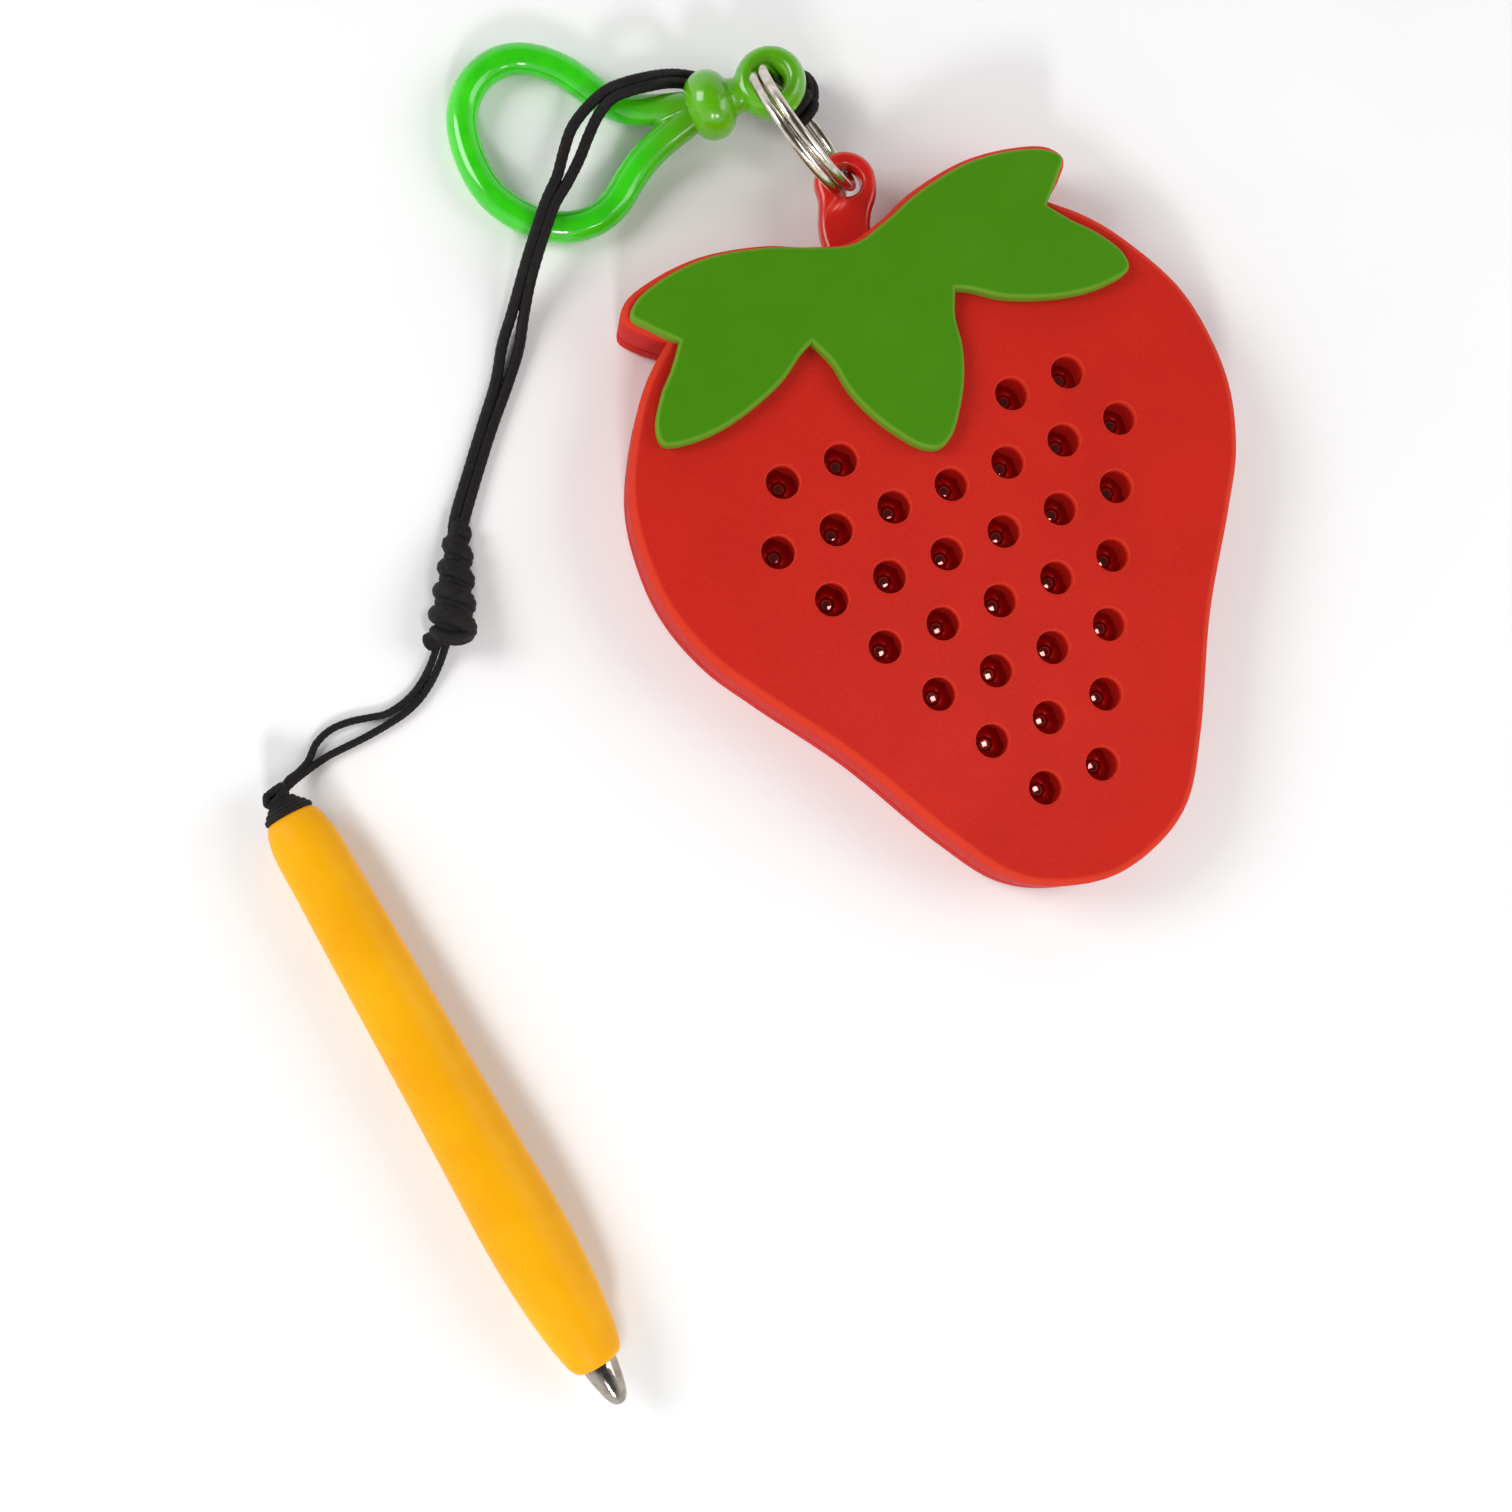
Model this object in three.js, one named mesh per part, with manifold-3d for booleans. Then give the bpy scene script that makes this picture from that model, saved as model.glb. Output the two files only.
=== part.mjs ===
// A strawberry-shaped magnetic ball drawing board on a key ring, with a clip loop and a corded magnet stylus.
// Millimetres. The origin is on the flat back face, on the berry's mid-line under the middle row of balls.
// +X is right seen from the front, +Y points to the stem and +Z comes out of the face.
// The whole object lies on its back on the plane Z = 0.
import * as THREE from 'three';
import { mergeVertices } from 'three/addons/utils/BufferGeometryUtils.js';
import Module from 'manifold-3d';

const wasm = await Module();
wasm.setup();

// Casing
const BODY_THICK = 8;
const EDGE_ROUND = 0.9;
const WALL = 1.5;
const FACE_THICK = 1;
const BACK_THICK = 1.2;
const PARTING_Z = 2.75;
const GAP = 0.3;

// Ball field: rows from the top, each with its height and the places of its balls, in steps of half a pitch
const PITCH = 6.3;
const WINDOW_R = 1.7;
const BALL_R = 2;
const CELL_R = 2.25;
const BALL_REST_Z = BACK_THICK + BALL_R + 0.1;
const BALL_ROWS = [
  [-5, -3, 3, 5],
  [-6, -4, -2, 0, 2, 4, 6],
  [-5, -3, -1, 1, 3, 5],
  [-4, -2, 0, 2, 4],
  [-3, -1, 1, 3],
  [-2, 0, 2],
  [-1, 1],
];
const TOP_ROW_Y = 3 * PITCH;

// Leaf cap
const LEAF_THICK = 1.3;
const LEAF_Z = BODY_THICK + 0.1;
const LEAF_PEGS = [[-14, 34], [14, 34], [0, 27]];

// Hanging stem, trapped between the shells
const STEM_EYE = [2.85, 45.65, 5.0];
const STEM_THICK = 2.3;
const STEM_EYE_R = 3.15;
const STEM_HOLE_R = 1.85;

// Split ring
const RING_R = 7.15;
const RING_WIRE_R = 0.525;
const RING_TURN_PITCH = 1.12;
const RING_CENTRE = [0.15, 51.3, 7.6];
const RING_HEADING = THREE.MathUtils.degToRad(-77);
const RING_LEAN = THREE.MathUtils.degToRad(26);
// Angles round the ring: where its wire starts, how long the step between its turns is, and the gap at its ends
const RING_START = 4.39;
const RING_STEP = 0.45;
const RING_END_GAP = 0.12;

// Clip connector, whose eye hangs on the ring
const CLIP_EYE = [-0.5, 57.8, 5.6];
const CLIP_EYE_R = 3.8;
const CLIP_HOLE_R = 1.6;
const CLIP_EYE_HALF = 1.95;
const CLIP_TURN = THREE.MathUtils.degToRad(-3.6);
const CLIP_SLOPE = THREE.MathUtils.degToRad(-11);
const CLIP_END = 8.75;
const SOCKET_R = 1.9;
const SOCKET_DEPTH = 2.4;

// Soft clip loop
const LOOP_R = 1.62;

// Cords
const STRAP_R = 0.56;
const STRING_R = 0.37;
const HITCH_AT = -0.52;

// Stylus: a point on its axis is given by its distance from the domed top
const STYLUS_TOP = [-72.4, 7.5, 3.3];
const STYLUS_TIP = [-64.1, -57.25, 4.4];
const STYLUS_HOLE_AT = 2.6;
const STYLUS_HOLE_R = 0.8;
const STYLUS_BORE_R = 1.9;
const STYLUS_END = 61;
const HITCH_KNOT = [-73.0, 9.0, 2.6];
const HITCH_KNOT_R = 1.2;

const vec = (p) => new THREE.Vector3(...p);

// A closed geometry as a solid for cutting and joining
function toSolid(geometry) {
  const bare = geometry.index ? geometry.toNonIndexed() : geometry.clone();
  bare.deleteAttribute('normal');
  bare.deleteAttribute('uv');
  const merged = mergeVertices(bare, 1e-4);
  const mesh = new wasm.Mesh({
    numProp: 3,
    vertProperties: merged.attributes.position.array,
    triVerts: Uint32Array.from(merged.index.array),
  });
  return new wasm.Manifold(mesh);
}

function toGeometry(solid) {
  const mesh = solid.getMesh();
  const geometry = new THREE.BufferGeometry();
  geometry.setAttribute('position', new THREE.BufferAttribute(Float32Array.from(mesh.vertProperties), 3));
  geometry.setIndex(new THREE.BufferAttribute(Uint32Array.from(mesh.triVerts), 1));
  return geometry;
}

// An upright prism between two heights
function prism(points, low, high) {
  const shape = new THREE.Shape(points);
  const geometry = new THREE.ExtrudeGeometry(shape, { depth: high - low, bevelEnabled: false });
  return geometry.translate(0, 0, low);
}

function box(low, high) {
  const size = vec(high).sub(vec(low));
  const middle = vec(high).add(vec(low)).multiplyScalar(0.5);
  return toSolid(new THREE.BoxGeometry(size.x, size.y, size.z).translate(middle.x, middle.y, middle.z));
}

// A round post or hole, whose flats lie outside the radius, so that a round piece still fits the hole
function roundPrism(x, y, radius, low, high, sides) {
  const corner = radius / Math.cos(Math.PI / sides);
  const points = [];
  for (let i = 0; i < sides; i += 1) {
    const angle = (2 * Math.PI * (i + 0.5)) / sides;
    points.push(new THREE.Vector2(x + corner * Math.cos(angle), y + corner * Math.sin(angle)));
  }
  return toSolid(prism(points, low, high));
}

// A tube along a curve, with flat closed ends
function tube(curve, radius, steps, sides = 8) {
  const section = new THREE.Shape();
  for (let i = 0; i < sides; i += 1) {
    const angle = (2 * Math.PI * i) / sides;
    const [x, y] = [radius * Math.cos(angle), radius * Math.sin(angle)];
    if (i === 0) section.moveTo(x, y);
    else section.lineTo(x, y);
  }
  section.closePath();
  return new THREE.ExtrudeGeometry(section, { steps, extrudePath: curve, bevelEnabled: false });
}

function spline(points) {
  return new THREE.CatmullRomCurve3(points.map(vec), false, 'centripetal');
}

// A half outline, given from the mid-line, drawn through both sides of it as one smooth run of points
function mirrored(half, count) {
  const left = half.slice(1).reverse().map(([x, y]) => [-x, y]);
  const points = [...left, ...half].map(([x, y]) => new THREE.Vector2(x, y));
  return new THREE.SplineCurve(points).getSpacedPoints(count);
}

// The berry from its point up to the notch, and the two shoulders over the leaf
const BERRY_HALF = [
  [0, -29.6], [6, -28.25], [10, -25.7], [14, -19.95], [20, -8.95], [26, -0.15], [29.2, 5],
  [31.25, 11], [31.6, 16.5], [30.55, 23], [26.9, 30], [24.2, 33.4], [21.1, 36.1],
];
const SHOULDER_HALF = [
  [0, 39.2], [4, 40.2], [8, 41.8], [14.5, 43], [20, 42.5], [23.4, 41.3], [24.5, 39.6],
  [23.2, 37.8], [21.1, 36.1],
];

function berryOutline() {
  const lower = mirrored(BERRY_HALF, 52);
  const upper = mirrored(SHOULDER_HALF, 28).reverse();
  return [...lower, ...upper.slice(1, -1)];
}

function distanceToOutline(point, outline) {
  const closest = new THREE.Vector3();
  const target = new THREE.Vector3(point.x, point.y, 0);
  let least = Infinity;
  outline.forEach((start, i) => {
    const end = outline[(i + 1) % outline.length];
    const edge = new THREE.Line3(vec([start.x, start.y, 0]), vec([end.x, end.y, 0]));
    edge.closestPointToPoint(target, true, closest);
    least = Math.min(least, closest.distanceTo(target));
  });
  return least;
}

// The outline moved inwards; points that a tight corner would fold over are dropped
function inset(outline, depth) {
  const moved = outline.map((point, i) => {
    const before = outline[(i + outline.length - 1) % outline.length];
    const after = outline[(i + 1) % outline.length];
    const along = after.clone().sub(before).normalize();
    return new THREE.Vector2(point.x - along.y * depth, point.y + along.x * depth);
  });
  return moved.filter((point) => distanceToOutline(point, outline) > depth * 0.96);
}

// The whole casing with its rounded edges, before it is hollowed and parted
function casingBlock() {
  const geometry = new THREE.ExtrudeGeometry(new THREE.Shape(berryOutline()), {
    depth: BODY_THICK - 2 * EDGE_ROUND,
    bevelThickness: EDGE_ROUND,
    bevelSize: EDGE_ROUND,
    bevelOffset: -EDGE_ROUND,
    bevelSegments: 2,
  });
  return toSolid(geometry.translate(0, 0, EDGE_ROUND));
}

function ballPlaces() {
  return BALL_ROWS.flatMap((row, r) => row.map((step, c) => ({
    name: `ball_r${r + 1}_c${c + 1}`,
    x: (step * PITCH) / 2,
    y: TOP_ROW_Y - r * PITCH,
  })));
}

// The thin face with its windows, and the side wall down to the parting line
function frontShell() {
  let solid = casingBlock().intersect(box([-50, -50, PARTING_Z + GAP / 2], [50, 60, 20]));
  const cavity = inset(berryOutline(), WALL);
  solid = solid.subtract(toSolid(prism(cavity, 0, BODY_THICK - FACE_THICK)));
  for (const { x, y } of ballPlaces()) {
    solid = solid.subtract(roundPrism(x, y, WINDOW_R, 5, 10, 10));
  }
  for (const [x, y] of LEAF_PEGS) {
    solid = solid.subtract(roundPrism(x, y, 1 + GAP, 5, 10, 8));
  }
  const stemTop = STEM_EYE[2] + STEM_THICK / 2 + GAP;
  const stemSlot = box([-2.7, 35, 0], [3.9, 45, stemTop]);
  return toGeometry(solid.subtract(stemSlot));
}

// The flat back with a low rim and five spacer posts
function backCover() {
  let solid = casingBlock().intersect(box([-50, -50, -1], [50, 60, PARTING_Z - GAP / 2]));
  const cavity = inset(berryOutline(), WALL);
  solid = solid.subtract(toSolid(prism(cavity, BACK_THICK, 10)));
  const posts = [[-28.1, 15], [28.1, 15], [-17.5, 36.5], [17.5, 36.5], [0, -26.1]];
  for (const [x, y] of posts) {
    solid = solid.add(roundPrism(x, y, 1.05, BACK_THICK / 2, BODY_THICK - FACE_THICK - GAP, 8));
  }
  return toGeometry(solid);
}

// The inner plate whose cells keep each ball under its window
function cellPlate() {
  const outline = inset(berryOutline(), 5.5);
  const low = BACK_THICK + GAP;
  const high = BODY_THICK - FACE_THICK - GAP;
  let solid = toSolid(prism(outline, low, high)).intersect(box([-50, -50, 0], [50, 24.5, 10]));
  for (const { x, y } of ballPlaces()) {
    solid = solid.subtract(roundPrism(x, y, CELL_R, 0, 10, 8));
  }
  return toGeometry(solid);
}

function ball() {
  return new THREE.SphereGeometry(BALL_R, 8, 5).rotateX(Math.PI / 2);
}

// The leaf: a long middle tongue, two side lobes and two shoulder lobes
function leafOutline() {
  const tongue = mirrored([[0, 16.2], [1.6, 16.9], [3.4, 19], [5.2, 22], [6.3, 25], [6.8, 28], [7.9, 30.6]], 22);
  const side = new THREE.SplineCurve([
    [7.9, 30.6], [9.2, 30], [12.3, 28], [18.2, 26], [22.6, 25.6], [25.6, 26.3], [25.7, 28], [23.9, 31],
    [22, 33], [20.2, 35.3],
  ].map(([x, y]) => new THREE.Vector2(x, y))).getSpacedPoints(18);
  const top = mirrored([
    [0, 38.45], [4, 39.5], [8, 41], [14.2, 42.2], [19.5, 41.7], [22.7, 40.5], [23.7, 39.3], [22.5, 37.7],
    [20.2, 35.3],
  ], 26).reverse();
  const flipped = side.map((p) => new THREE.Vector2(-p.x, p.y)).reverse();
  return [...tongue, ...side.slice(1), ...top.slice(1), ...flipped.slice(1, -1)];
}

function leafCap() {
  const edge = 0.5;
  const geometry = new THREE.ExtrudeGeometry(new THREE.Shape(leafOutline()), {
    depth: LEAF_THICK - edge,
    bevelThickness: edge,
    bevelSize: edge,
    bevelOffset: -edge,
    bevelSegments: 1,
  });
  let solid = toSolid(geometry.translate(0, 0, LEAF_Z)).intersect(box([-50, 0, LEAF_Z], [50, 60, 12]));
  for (const [x, y] of LEAF_PEGS) {
    solid = solid.add(roundPrism(x, y, 1, 5.8, LEAF_Z + 0.6, 6));
  }
  return toGeometry(solid);
}

// A flat stem that leans to the right and ends in a round eye; its foot is wider than the slot it comes out of
function hangingStem() {
  const [eyeX, eyeY, eyeZ] = STEM_EYE;
  const shape = new THREE.Shape();
  shape.moveTo(-5, 33.4);
  shape.lineTo(6, 33.4);
  shape.lineTo(6, 36.4);
  shape.lineTo(3.3, 36.4);
  shape.bezierCurveTo(2.6, 39, 3.4, 41.2, 4.6, 42.4);
  shape.quadraticCurveTo(5.7, 43.5, eyeX + STEM_EYE_R, eyeY);
  shape.absarc(eyeX, eyeY, STEM_EYE_R, 0, Math.PI, false);
  shape.quadraticCurveTo(-1.6, 43.6, -1.9, 40);
  shape.lineTo(-2.1, 36.4);
  shape.lineTo(-5, 36.4);
  shape.closePath();
  const hole = new THREE.Path();
  hole.absarc(eyeX, eyeY, STEM_HOLE_R * 1.03, 0, 2 * Math.PI, true);
  shape.holes.push(hole);
  const edge = 0.65;
  const geometry = new THREE.ExtrudeGeometry(shape, {
    curveSegments: 7,
    depth: STEM_THICK - 2 * edge,
    bevelThickness: edge,
    bevelSize: edge * 0.8,
    bevelOffset: -edge * 0.8,
    bevelSegments: 1,
  });
  return geometry.translate(0, 0, eyeZ - STEM_THICK / 2 + edge);
}

// The ring stands on edge and leans; these are its level and its leaning directions
const ringLevel = new THREE.Vector3(Math.cos(RING_HEADING), Math.sin(RING_HEADING), 0);
const ringRise = new THREE.Vector3(
  Math.sin(RING_HEADING) * Math.sin(RING_LEAN),
  -Math.cos(RING_HEADING) * Math.sin(RING_LEAN),
  Math.cos(RING_LEAN),
);
const ringAxis = ringLevel.clone().cross(ringRise);

function ringPoint(angle, sideways = 0) {
  return vec(RING_CENTRE)
    .addScaledVector(ringLevel, RING_R * Math.cos(angle))
    .addScaledVector(ringRise, RING_R * Math.sin(angle))
    .addScaledVector(ringAxis, sideways);
}

// Two flat turns of one wire, joined by a short step from one turn to the other
class SplitRingCurve extends THREE.Curve {
  getPoint(t, target = new THREE.Vector3()) {
    const angle = t * (4 * Math.PI - RING_STEP - RING_END_GAP);
    const climb = THREE.MathUtils.smoothstep(angle, 2 * Math.PI - RING_STEP, 2 * Math.PI);
    return target.copy(ringPoint(RING_START + angle, (climb - 0.5) * RING_TURN_PITCH));
  }
}

function splitRing() {
  return tube(new SplitRingCurve(), RING_WIRE_R, 50, 6);
}

// A cord band looped round both wires of the ring, beside the clip eye
function strapHitch() {
  const shape = new THREE.Shape();
  shape.absellipse(0, 0, 2.2, 1.6, 0, 2 * Math.PI, false);
  const hole = new THREE.Path();
  hole.absellipse(0, 0, 1.5, 0.9, 0, 2 * Math.PI, true);
  shape.holes.push(hole);
  const width = 1.9;
  const geometry = new THREE.ExtrudeGeometry(shape, { depth: width, bevelEnabled: false, curveSegments: 7 });
  geometry.translate(0, 0, -width / 2);
  const angle = -Math.acos(HITCH_AT);
  const outward = ringPoint(angle).sub(vec(RING_CENTRE)).normalize();
  const along = ringAxis.clone().cross(outward);
  const place = new THREE.Matrix4().makeBasis(ringAxis, outward, along).setPosition(ringPoint(angle));
  return geometry.applyMatrix4(place);
}

// A turned shape about the local X axis, from radius and distance pairs measured towards -X
function turned(profile, segments) {
  const points = profile.map(([radius, distance]) => new THREE.Vector2(radius, distance));
  return new THREE.LatheGeometry(points, segments).rotateZ(Math.PI / 2);
}

// The eye, neck and round collar, moulded in one
function clipConnector() {
  const ringHalf = (CLIP_EYE_R - CLIP_HOLE_R) / 2;
  const section = [];
  for (let i = 0; i <= 10; i += 1) {
    const angle = (2 * Math.PI * i) / 10;
    const radius = CLIP_HOLE_R + ringHalf + ringHalf * Math.cos(angle);
    section.push(new THREE.Vector2(radius, CLIP_EYE_HALF * Math.sin(angle)));
  }
  section[10].copy(section[0]);
  const eye = toSolid(new THREE.LatheGeometry(section, 16).rotateX(Math.PI / 2));
  const collar = toSolid(turned([
    [0, 2.3], [1.75, 2.3], [1.85, 3.6], [2.1, 4.5], [2.9, 4.75], [3.4, 5.7], [3.45, 6.9], [3.05, 8.0],
    [2.3, 8.65], [0, CLIP_END],
  ], 14));
  const socket = toSolid(turned([
    [0, CLIP_END - SOCKET_DEPTH], [SOCKET_R, CLIP_END - SOCKET_DEPTH], [SOCKET_R, 9.5], [0, 9.5],
  ], 10));
  return toGeometry(eye.add(collar).subtract(socket));
}

// The soft loop, from the collar round to the collar again
const LOOP_ROUTE = [
  [-12.9, 60.5, 2.8], [-14.8, 61.7, 2.25], [-16.4, 63.5, 1.9], [-17.7, 65.7, 1.72], [-19.1, 67.7, 1.68],
  [-21.0, 69.4, 1.66], [-23.0, 70.4, 1.65], [-25.0, 70.6, 1.65], [-27.2, 70.0, 1.65], [-29.1, 68.6, 1.65],
  [-30.5, 66.5, 1.65], [-31.2, 63.9, 1.65], [-31.3, 61.0, 1.65], [-30.8, 58.2, 1.65], [-29.5, 55.8, 1.65],
  [-27.8, 53.9, 1.65], [-26.0, 52.7, 1.65], [-24.0, 52.0, 1.65], [-21.5, 52.0, 1.66], [-19.2, 52.9, 1.7],
  [-17.2, 54.4, 1.95], [-15.2, 55.7, 2.3], [-12.9, 56.7, 2.85],
];
const LOOP_ROOTS = [[-9.65, 59.0, 3.7], [-9.65, 57.6, 3.7]];

function straightTube(from, to, radius, sides) {
  return toSolid(tube(new THREE.LineCurve3(vec(from), vec(to)), radius, 1, sides));
}

function clipLoop() {
  const [upperRoot, lowerRoot] = LOOP_ROOTS;
  const upper = straightTube(upperRoot, [-13.4, 60.75, 2.65], LOOP_R + 0.1, 10);
  const lower = straightTube(lowerRoot, [-13.4, 56.6, 2.75], LOOP_R + 0.1, 10);
  const stub = straightTube([-7.2, 58.22, 4.3], [-10.4, 58.42, 3.68], SOCKET_R - GAP - 0.1, 8);
  const round = toSolid(tube(spline(LOOP_ROUTE), LOOP_R, 44));
  return toGeometry(round.add(upper).add(lower).add(stub));
}

// The strap is one cord laid double. Each row is a point of its middle line, and half the distance between
// its two strands. It runs under the clip's eye, over both sides of the loop and down to the big knot.
const STRAP_ROUTE = [
  [0.05, 57.3, 0.66, 0.62], [-1.3, 58.4, 0.62, 0.62], [-2.6, 59.5, 0.62, 0.62], [-4.2, 60.9, 0.65, 0.62],
  [-6.0, 61.9, 1.1, 0.62], [-8.0, 62.45, 2.4, 0.62], [-10.2, 62.4, 4.2, 0.62], [-12.3, 62.2, 5.5, 0.62],
  [-14.3, 62.3, 5.7, 0.62], [-16.2, 62.4, 5.1, 0.62], [-18.3, 61.6, 4.4, 0.65], [-20.3, 60.1, 4.15, 0.9],
  [-22.0, 58.2, 4.05, 0.85], [-23.8, 56.2, 4.1, 0.62], [-25.8, 54.4, 4.2, 0.6], [-27.6, 52.3, 4.25, 0.6],
  [-29.2, 50.4, 3.9, 0.6], [-31.0, 48.2, 2.7, 0.6], [-32.9, 45.6, 1.5, 0.65], [-34.8, 42.9, 0.8, 0.9],
  [-37.0, 39.8, 0.62, 0.65], [-40.0, 36.2, 0.6, 0.6], [-43.2, 32.2, 0.6, 0.6], [-46.15, 28.35, 0.7, 0.6],
];

// The thin string, laid double in the same way, from the big knot to the stylus
const STRING_ROUTE = [
  [-52.85, 16.75, 1.2, 0.4], [-53.9, 15.6, 0.7, 0.4], [-55.3, 14.35, 0.44, 0.4], [-56.9, 13.3, 0.4, 0.42],
  [-58.6, 12.65, 0.4, 0.45], [-60.2, 12.35, 0.4, 0.5], [-62.0, 12.35, 0.4, 0.8], [-63.8, 12.4, 0.4, 1.05],
  [-65.6, 12.3, 0.4, 1.1], [-67.2, 11.85, 0.45, 0.85], [-68.7, 11.0, 0.6, 0.5], [-70.0, 10.3, 1.1, 0.42],
  [-71.25, 9.75, 1.9, 0.4],
];

// One strand of a doubled cord, on the left (1) or right (-1) of the direction that the route runs
function strand(route, side) {
  const middle = spline(route.map(([x, y, z]) => [x, y, z]));
  const points = route.map(([x, y, z, half], i) => {
    const along = middle.getTangent(i / (route.length - 1));
    const across = new THREE.Vector3(-along.y, along.x, 0).normalize();
    return new THREE.Vector3(x, y, z).addScaledVector(across, side * half);
  });
  return new THREE.CatmullRomCurve3(points, false, 'centripetal');
}

// A shape turned about the line from one point to another, from radius and distance pairs
function turnedAlong(profile, from, to, segments) {
  const points = profile.map(([radius, distance]) => new THREE.Vector2(radius, distance));
  const geometry = new THREE.LatheGeometry(points, segments);
  const direction = vec(to).sub(vec(from)).normalize();
  const turn = new THREE.Quaternion().setFromUnitVectors(new THREE.Vector3(0, 1, 0), direction);
  geometry.applyQuaternion(turn);
  return geometry.translate(...from);
}

// The long wrapped knot that joins the strap to the string, with the stub of a cut cord end
function strapKnot() {
  const from = [-46.5, 27.75, 1.05];
  const to = [-51.3, 16.6, 2.92];
  const body = toSolid(turnedAlong([
    [0, 0], [0.85, 0.1], [1.25, 1.6], [1.0, 2.7], [1.65, 4.3], [1.3, 5.4], [2.1, 7.0], [1.9, 8.1],
    [2.32, 9.6], [2.15, 11.0], [1.2, 12.0], [0, 12.2],
  ], from, to, 10));
  const stub = straightTube([-51.0, 18.2, 1.8], [-53.6, 18.7, 1.4], 0.75, 8);
  return toGeometry(body.add(stub));
}

// Directions of the stylus: along it from the top to the tip, and level across it
const stylusAlong = vec(STYLUS_TIP).sub(vec(STYLUS_TOP)).normalize();
const stylusAcross = new THREE.Vector3(-stylusAlong.y, stylusAlong.x, 0).normalize();

function onStylus(along, across = 0) {
  return vec(STYLUS_TOP).addScaledVector(stylusAlong, along).addScaledVector(stylusAcross, across);
}

function stylusBarrel() {
  const outer = toSolid(turnedAlong([
    [0, 0], [1.1, 0.35], [2.1, 1.15], [2.8, 2.3], [3.15, 3.8], [3.3, 8], [3.5, 17.5], [3.7, 30],
    [3.9, 39], [4.05, 45], [3.97, 50], [3.7, 54], [3.2, 58], [2.7, 60.2], [2.2, STYLUS_END], [0, STYLUS_END],
  ], STYLUS_TOP, STYLUS_TIP, 16));
  const bore = toSolid(turnedAlong([
    [0, 50], [STYLUS_BORE_R, 50], [STYLUS_BORE_R, 63], [0, 63],
  ], STYLUS_TOP, STYLUS_TIP, 12));
  const left = onStylus(STYLUS_HOLE_AT, 6).toArray();
  const right = onStylus(STYLUS_HOLE_AT, -6).toArray();
  return toGeometry(outer.subtract(bore).subtract(straightTube(left, right, STYLUS_HOLE_R, 10)));
}

function stylusTip() {
  return turnedAlong([
    [0, 56], [1.5, 56], [1.5, 60.8], [1.72, 61.2], [1.45, 63], [1.0, 64.5], [0.45, 65.2], [0, 65.35],
  ], STYLUS_TOP, STYLUS_TIP, 12);
}

function stylusMagnet() {
  return turnedAlong([[0, 50.4], [1.5, 50.4], [1.5, 55.6], [0, 55.6]], STYLUS_TOP, STYLUS_TIP, 10);
}

// The string's end: a loop through the cross hole, tied off in a small knot
function stylusHitch() {
  const knot = vec(HITCH_KNOT);
  const loop = new THREE.CatmullRomCurve3([
    knot.clone(),
    onStylus(0.2, 2.7),
    onStylus(1.9, 3.75),
    onStylus(STYLUS_HOLE_AT, 3.0),
    onStylus(STYLUS_HOLE_AT, 0),
    onStylus(STYLUS_HOLE_AT, -3.0),
    onStylus(1.9, -3.75),
    onStylus(0.2, -2.7),
    knot.clone(),
  ], false, 'centripetal');
  const ballOfCord = new THREE.SphereGeometry(HITCH_KNOT_R, 10, 7).translate(...HITCH_KNOT);
  return toGeometry(toSolid(tube(loop, STRING_R, 26, 6)).add(toSolid(ballOfCord)));
}

function finish(color, roughness, metalness = 0) {
  return { color, roughness, metalness };
}

const RED = finish(0xcb2a1f, 0.55);
const INNER_RED = finish(0x6a0f0a, 0.5);
const MAGNET_GREY = finish(0x3a3432, 0.7);
const LEAF_GREEN = finish(0x47901a, 0.45);
const STEEL = finish(0xc9c6c0, 0.2, 1);
const LIME = finish(0x66b80e, 0.25);
const LOOP_GREEN = finish(0x22b00d, 0.15);
const CORD_BLACK = finish(0x14100f, 0.85);
const YELLOW = finish(0xf5a80a, 0.4);

const strawberry = new THREE.Group();

function place(parent, name, geometry, { color, roughness, metalness }) {
  const material = new THREE.MeshStandardMaterial({ color, roughness, metalness });
  const mesh = new THREE.Mesh(geometry, material);
  mesh.name = name;
  parent.add(mesh);
  return mesh;
}

place(strawberry, 'front_shell', frontShell(), RED);
place(strawberry, 'back_cover', backCover(), RED);
place(strawberry, 'cell_plate', cellPlate(), INNER_RED);
place(strawberry, 'leaf_cap', leafCap(), LEAF_GREEN);
place(strawberry, 'hanging_stem', hangingStem(), RED);

for (const { name, x, y } of ballPlaces()) {
  place(strawberry, name, ball(), STEEL).position.set(x, y, BALL_REST_Z);
}

const carrier = new THREE.Group();
place(carrier, 'split_ring', splitRing(), STEEL);
place(carrier, 'strap_hitch', strapHitch(), CORD_BLACK);

const clip = new THREE.Group();
const connector = place(clip, 'clip_connector', clipConnector(), LIME);
connector.position.set(...CLIP_EYE);
connector.rotation.set(0, CLIP_SLOPE, CLIP_TURN, 'ZYX');
place(clip, 'clip_loop', clipLoop(), LOOP_GREEN);

const cords = new THREE.Group();
place(cords, 'strap_strand_left', tube(strand(STRAP_ROUTE, 1), STRAP_R, 38), CORD_BLACK);
place(cords, 'strap_strand_right', tube(strand(STRAP_ROUTE, -1), STRAP_R, 38), CORD_BLACK);
place(cords, 'strap_knot', strapKnot(), CORD_BLACK);
place(cords, 'string_strand_left', tube(strand(STRING_ROUTE, 1), STRING_R, 18), CORD_BLACK);
place(cords, 'string_strand_right', tube(strand(STRING_ROUTE, -1), STRING_R, 18), CORD_BLACK);

const stylus = new THREE.Group();
place(stylus, 'stylus_hitch', stylusHitch(), CORD_BLACK);
place(stylus, 'stylus_barrel', stylusBarrel(), YELLOW);
place(stylus, 'stylus_tip', stylusTip(), STEEL);
place(stylus, 'stylus_magnet', stylusMagnet(), MAGNET_GREY);

const group = new THREE.Group();
group.add(strawberry, carrier, clip, cords, stylus);

export default group;
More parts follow.
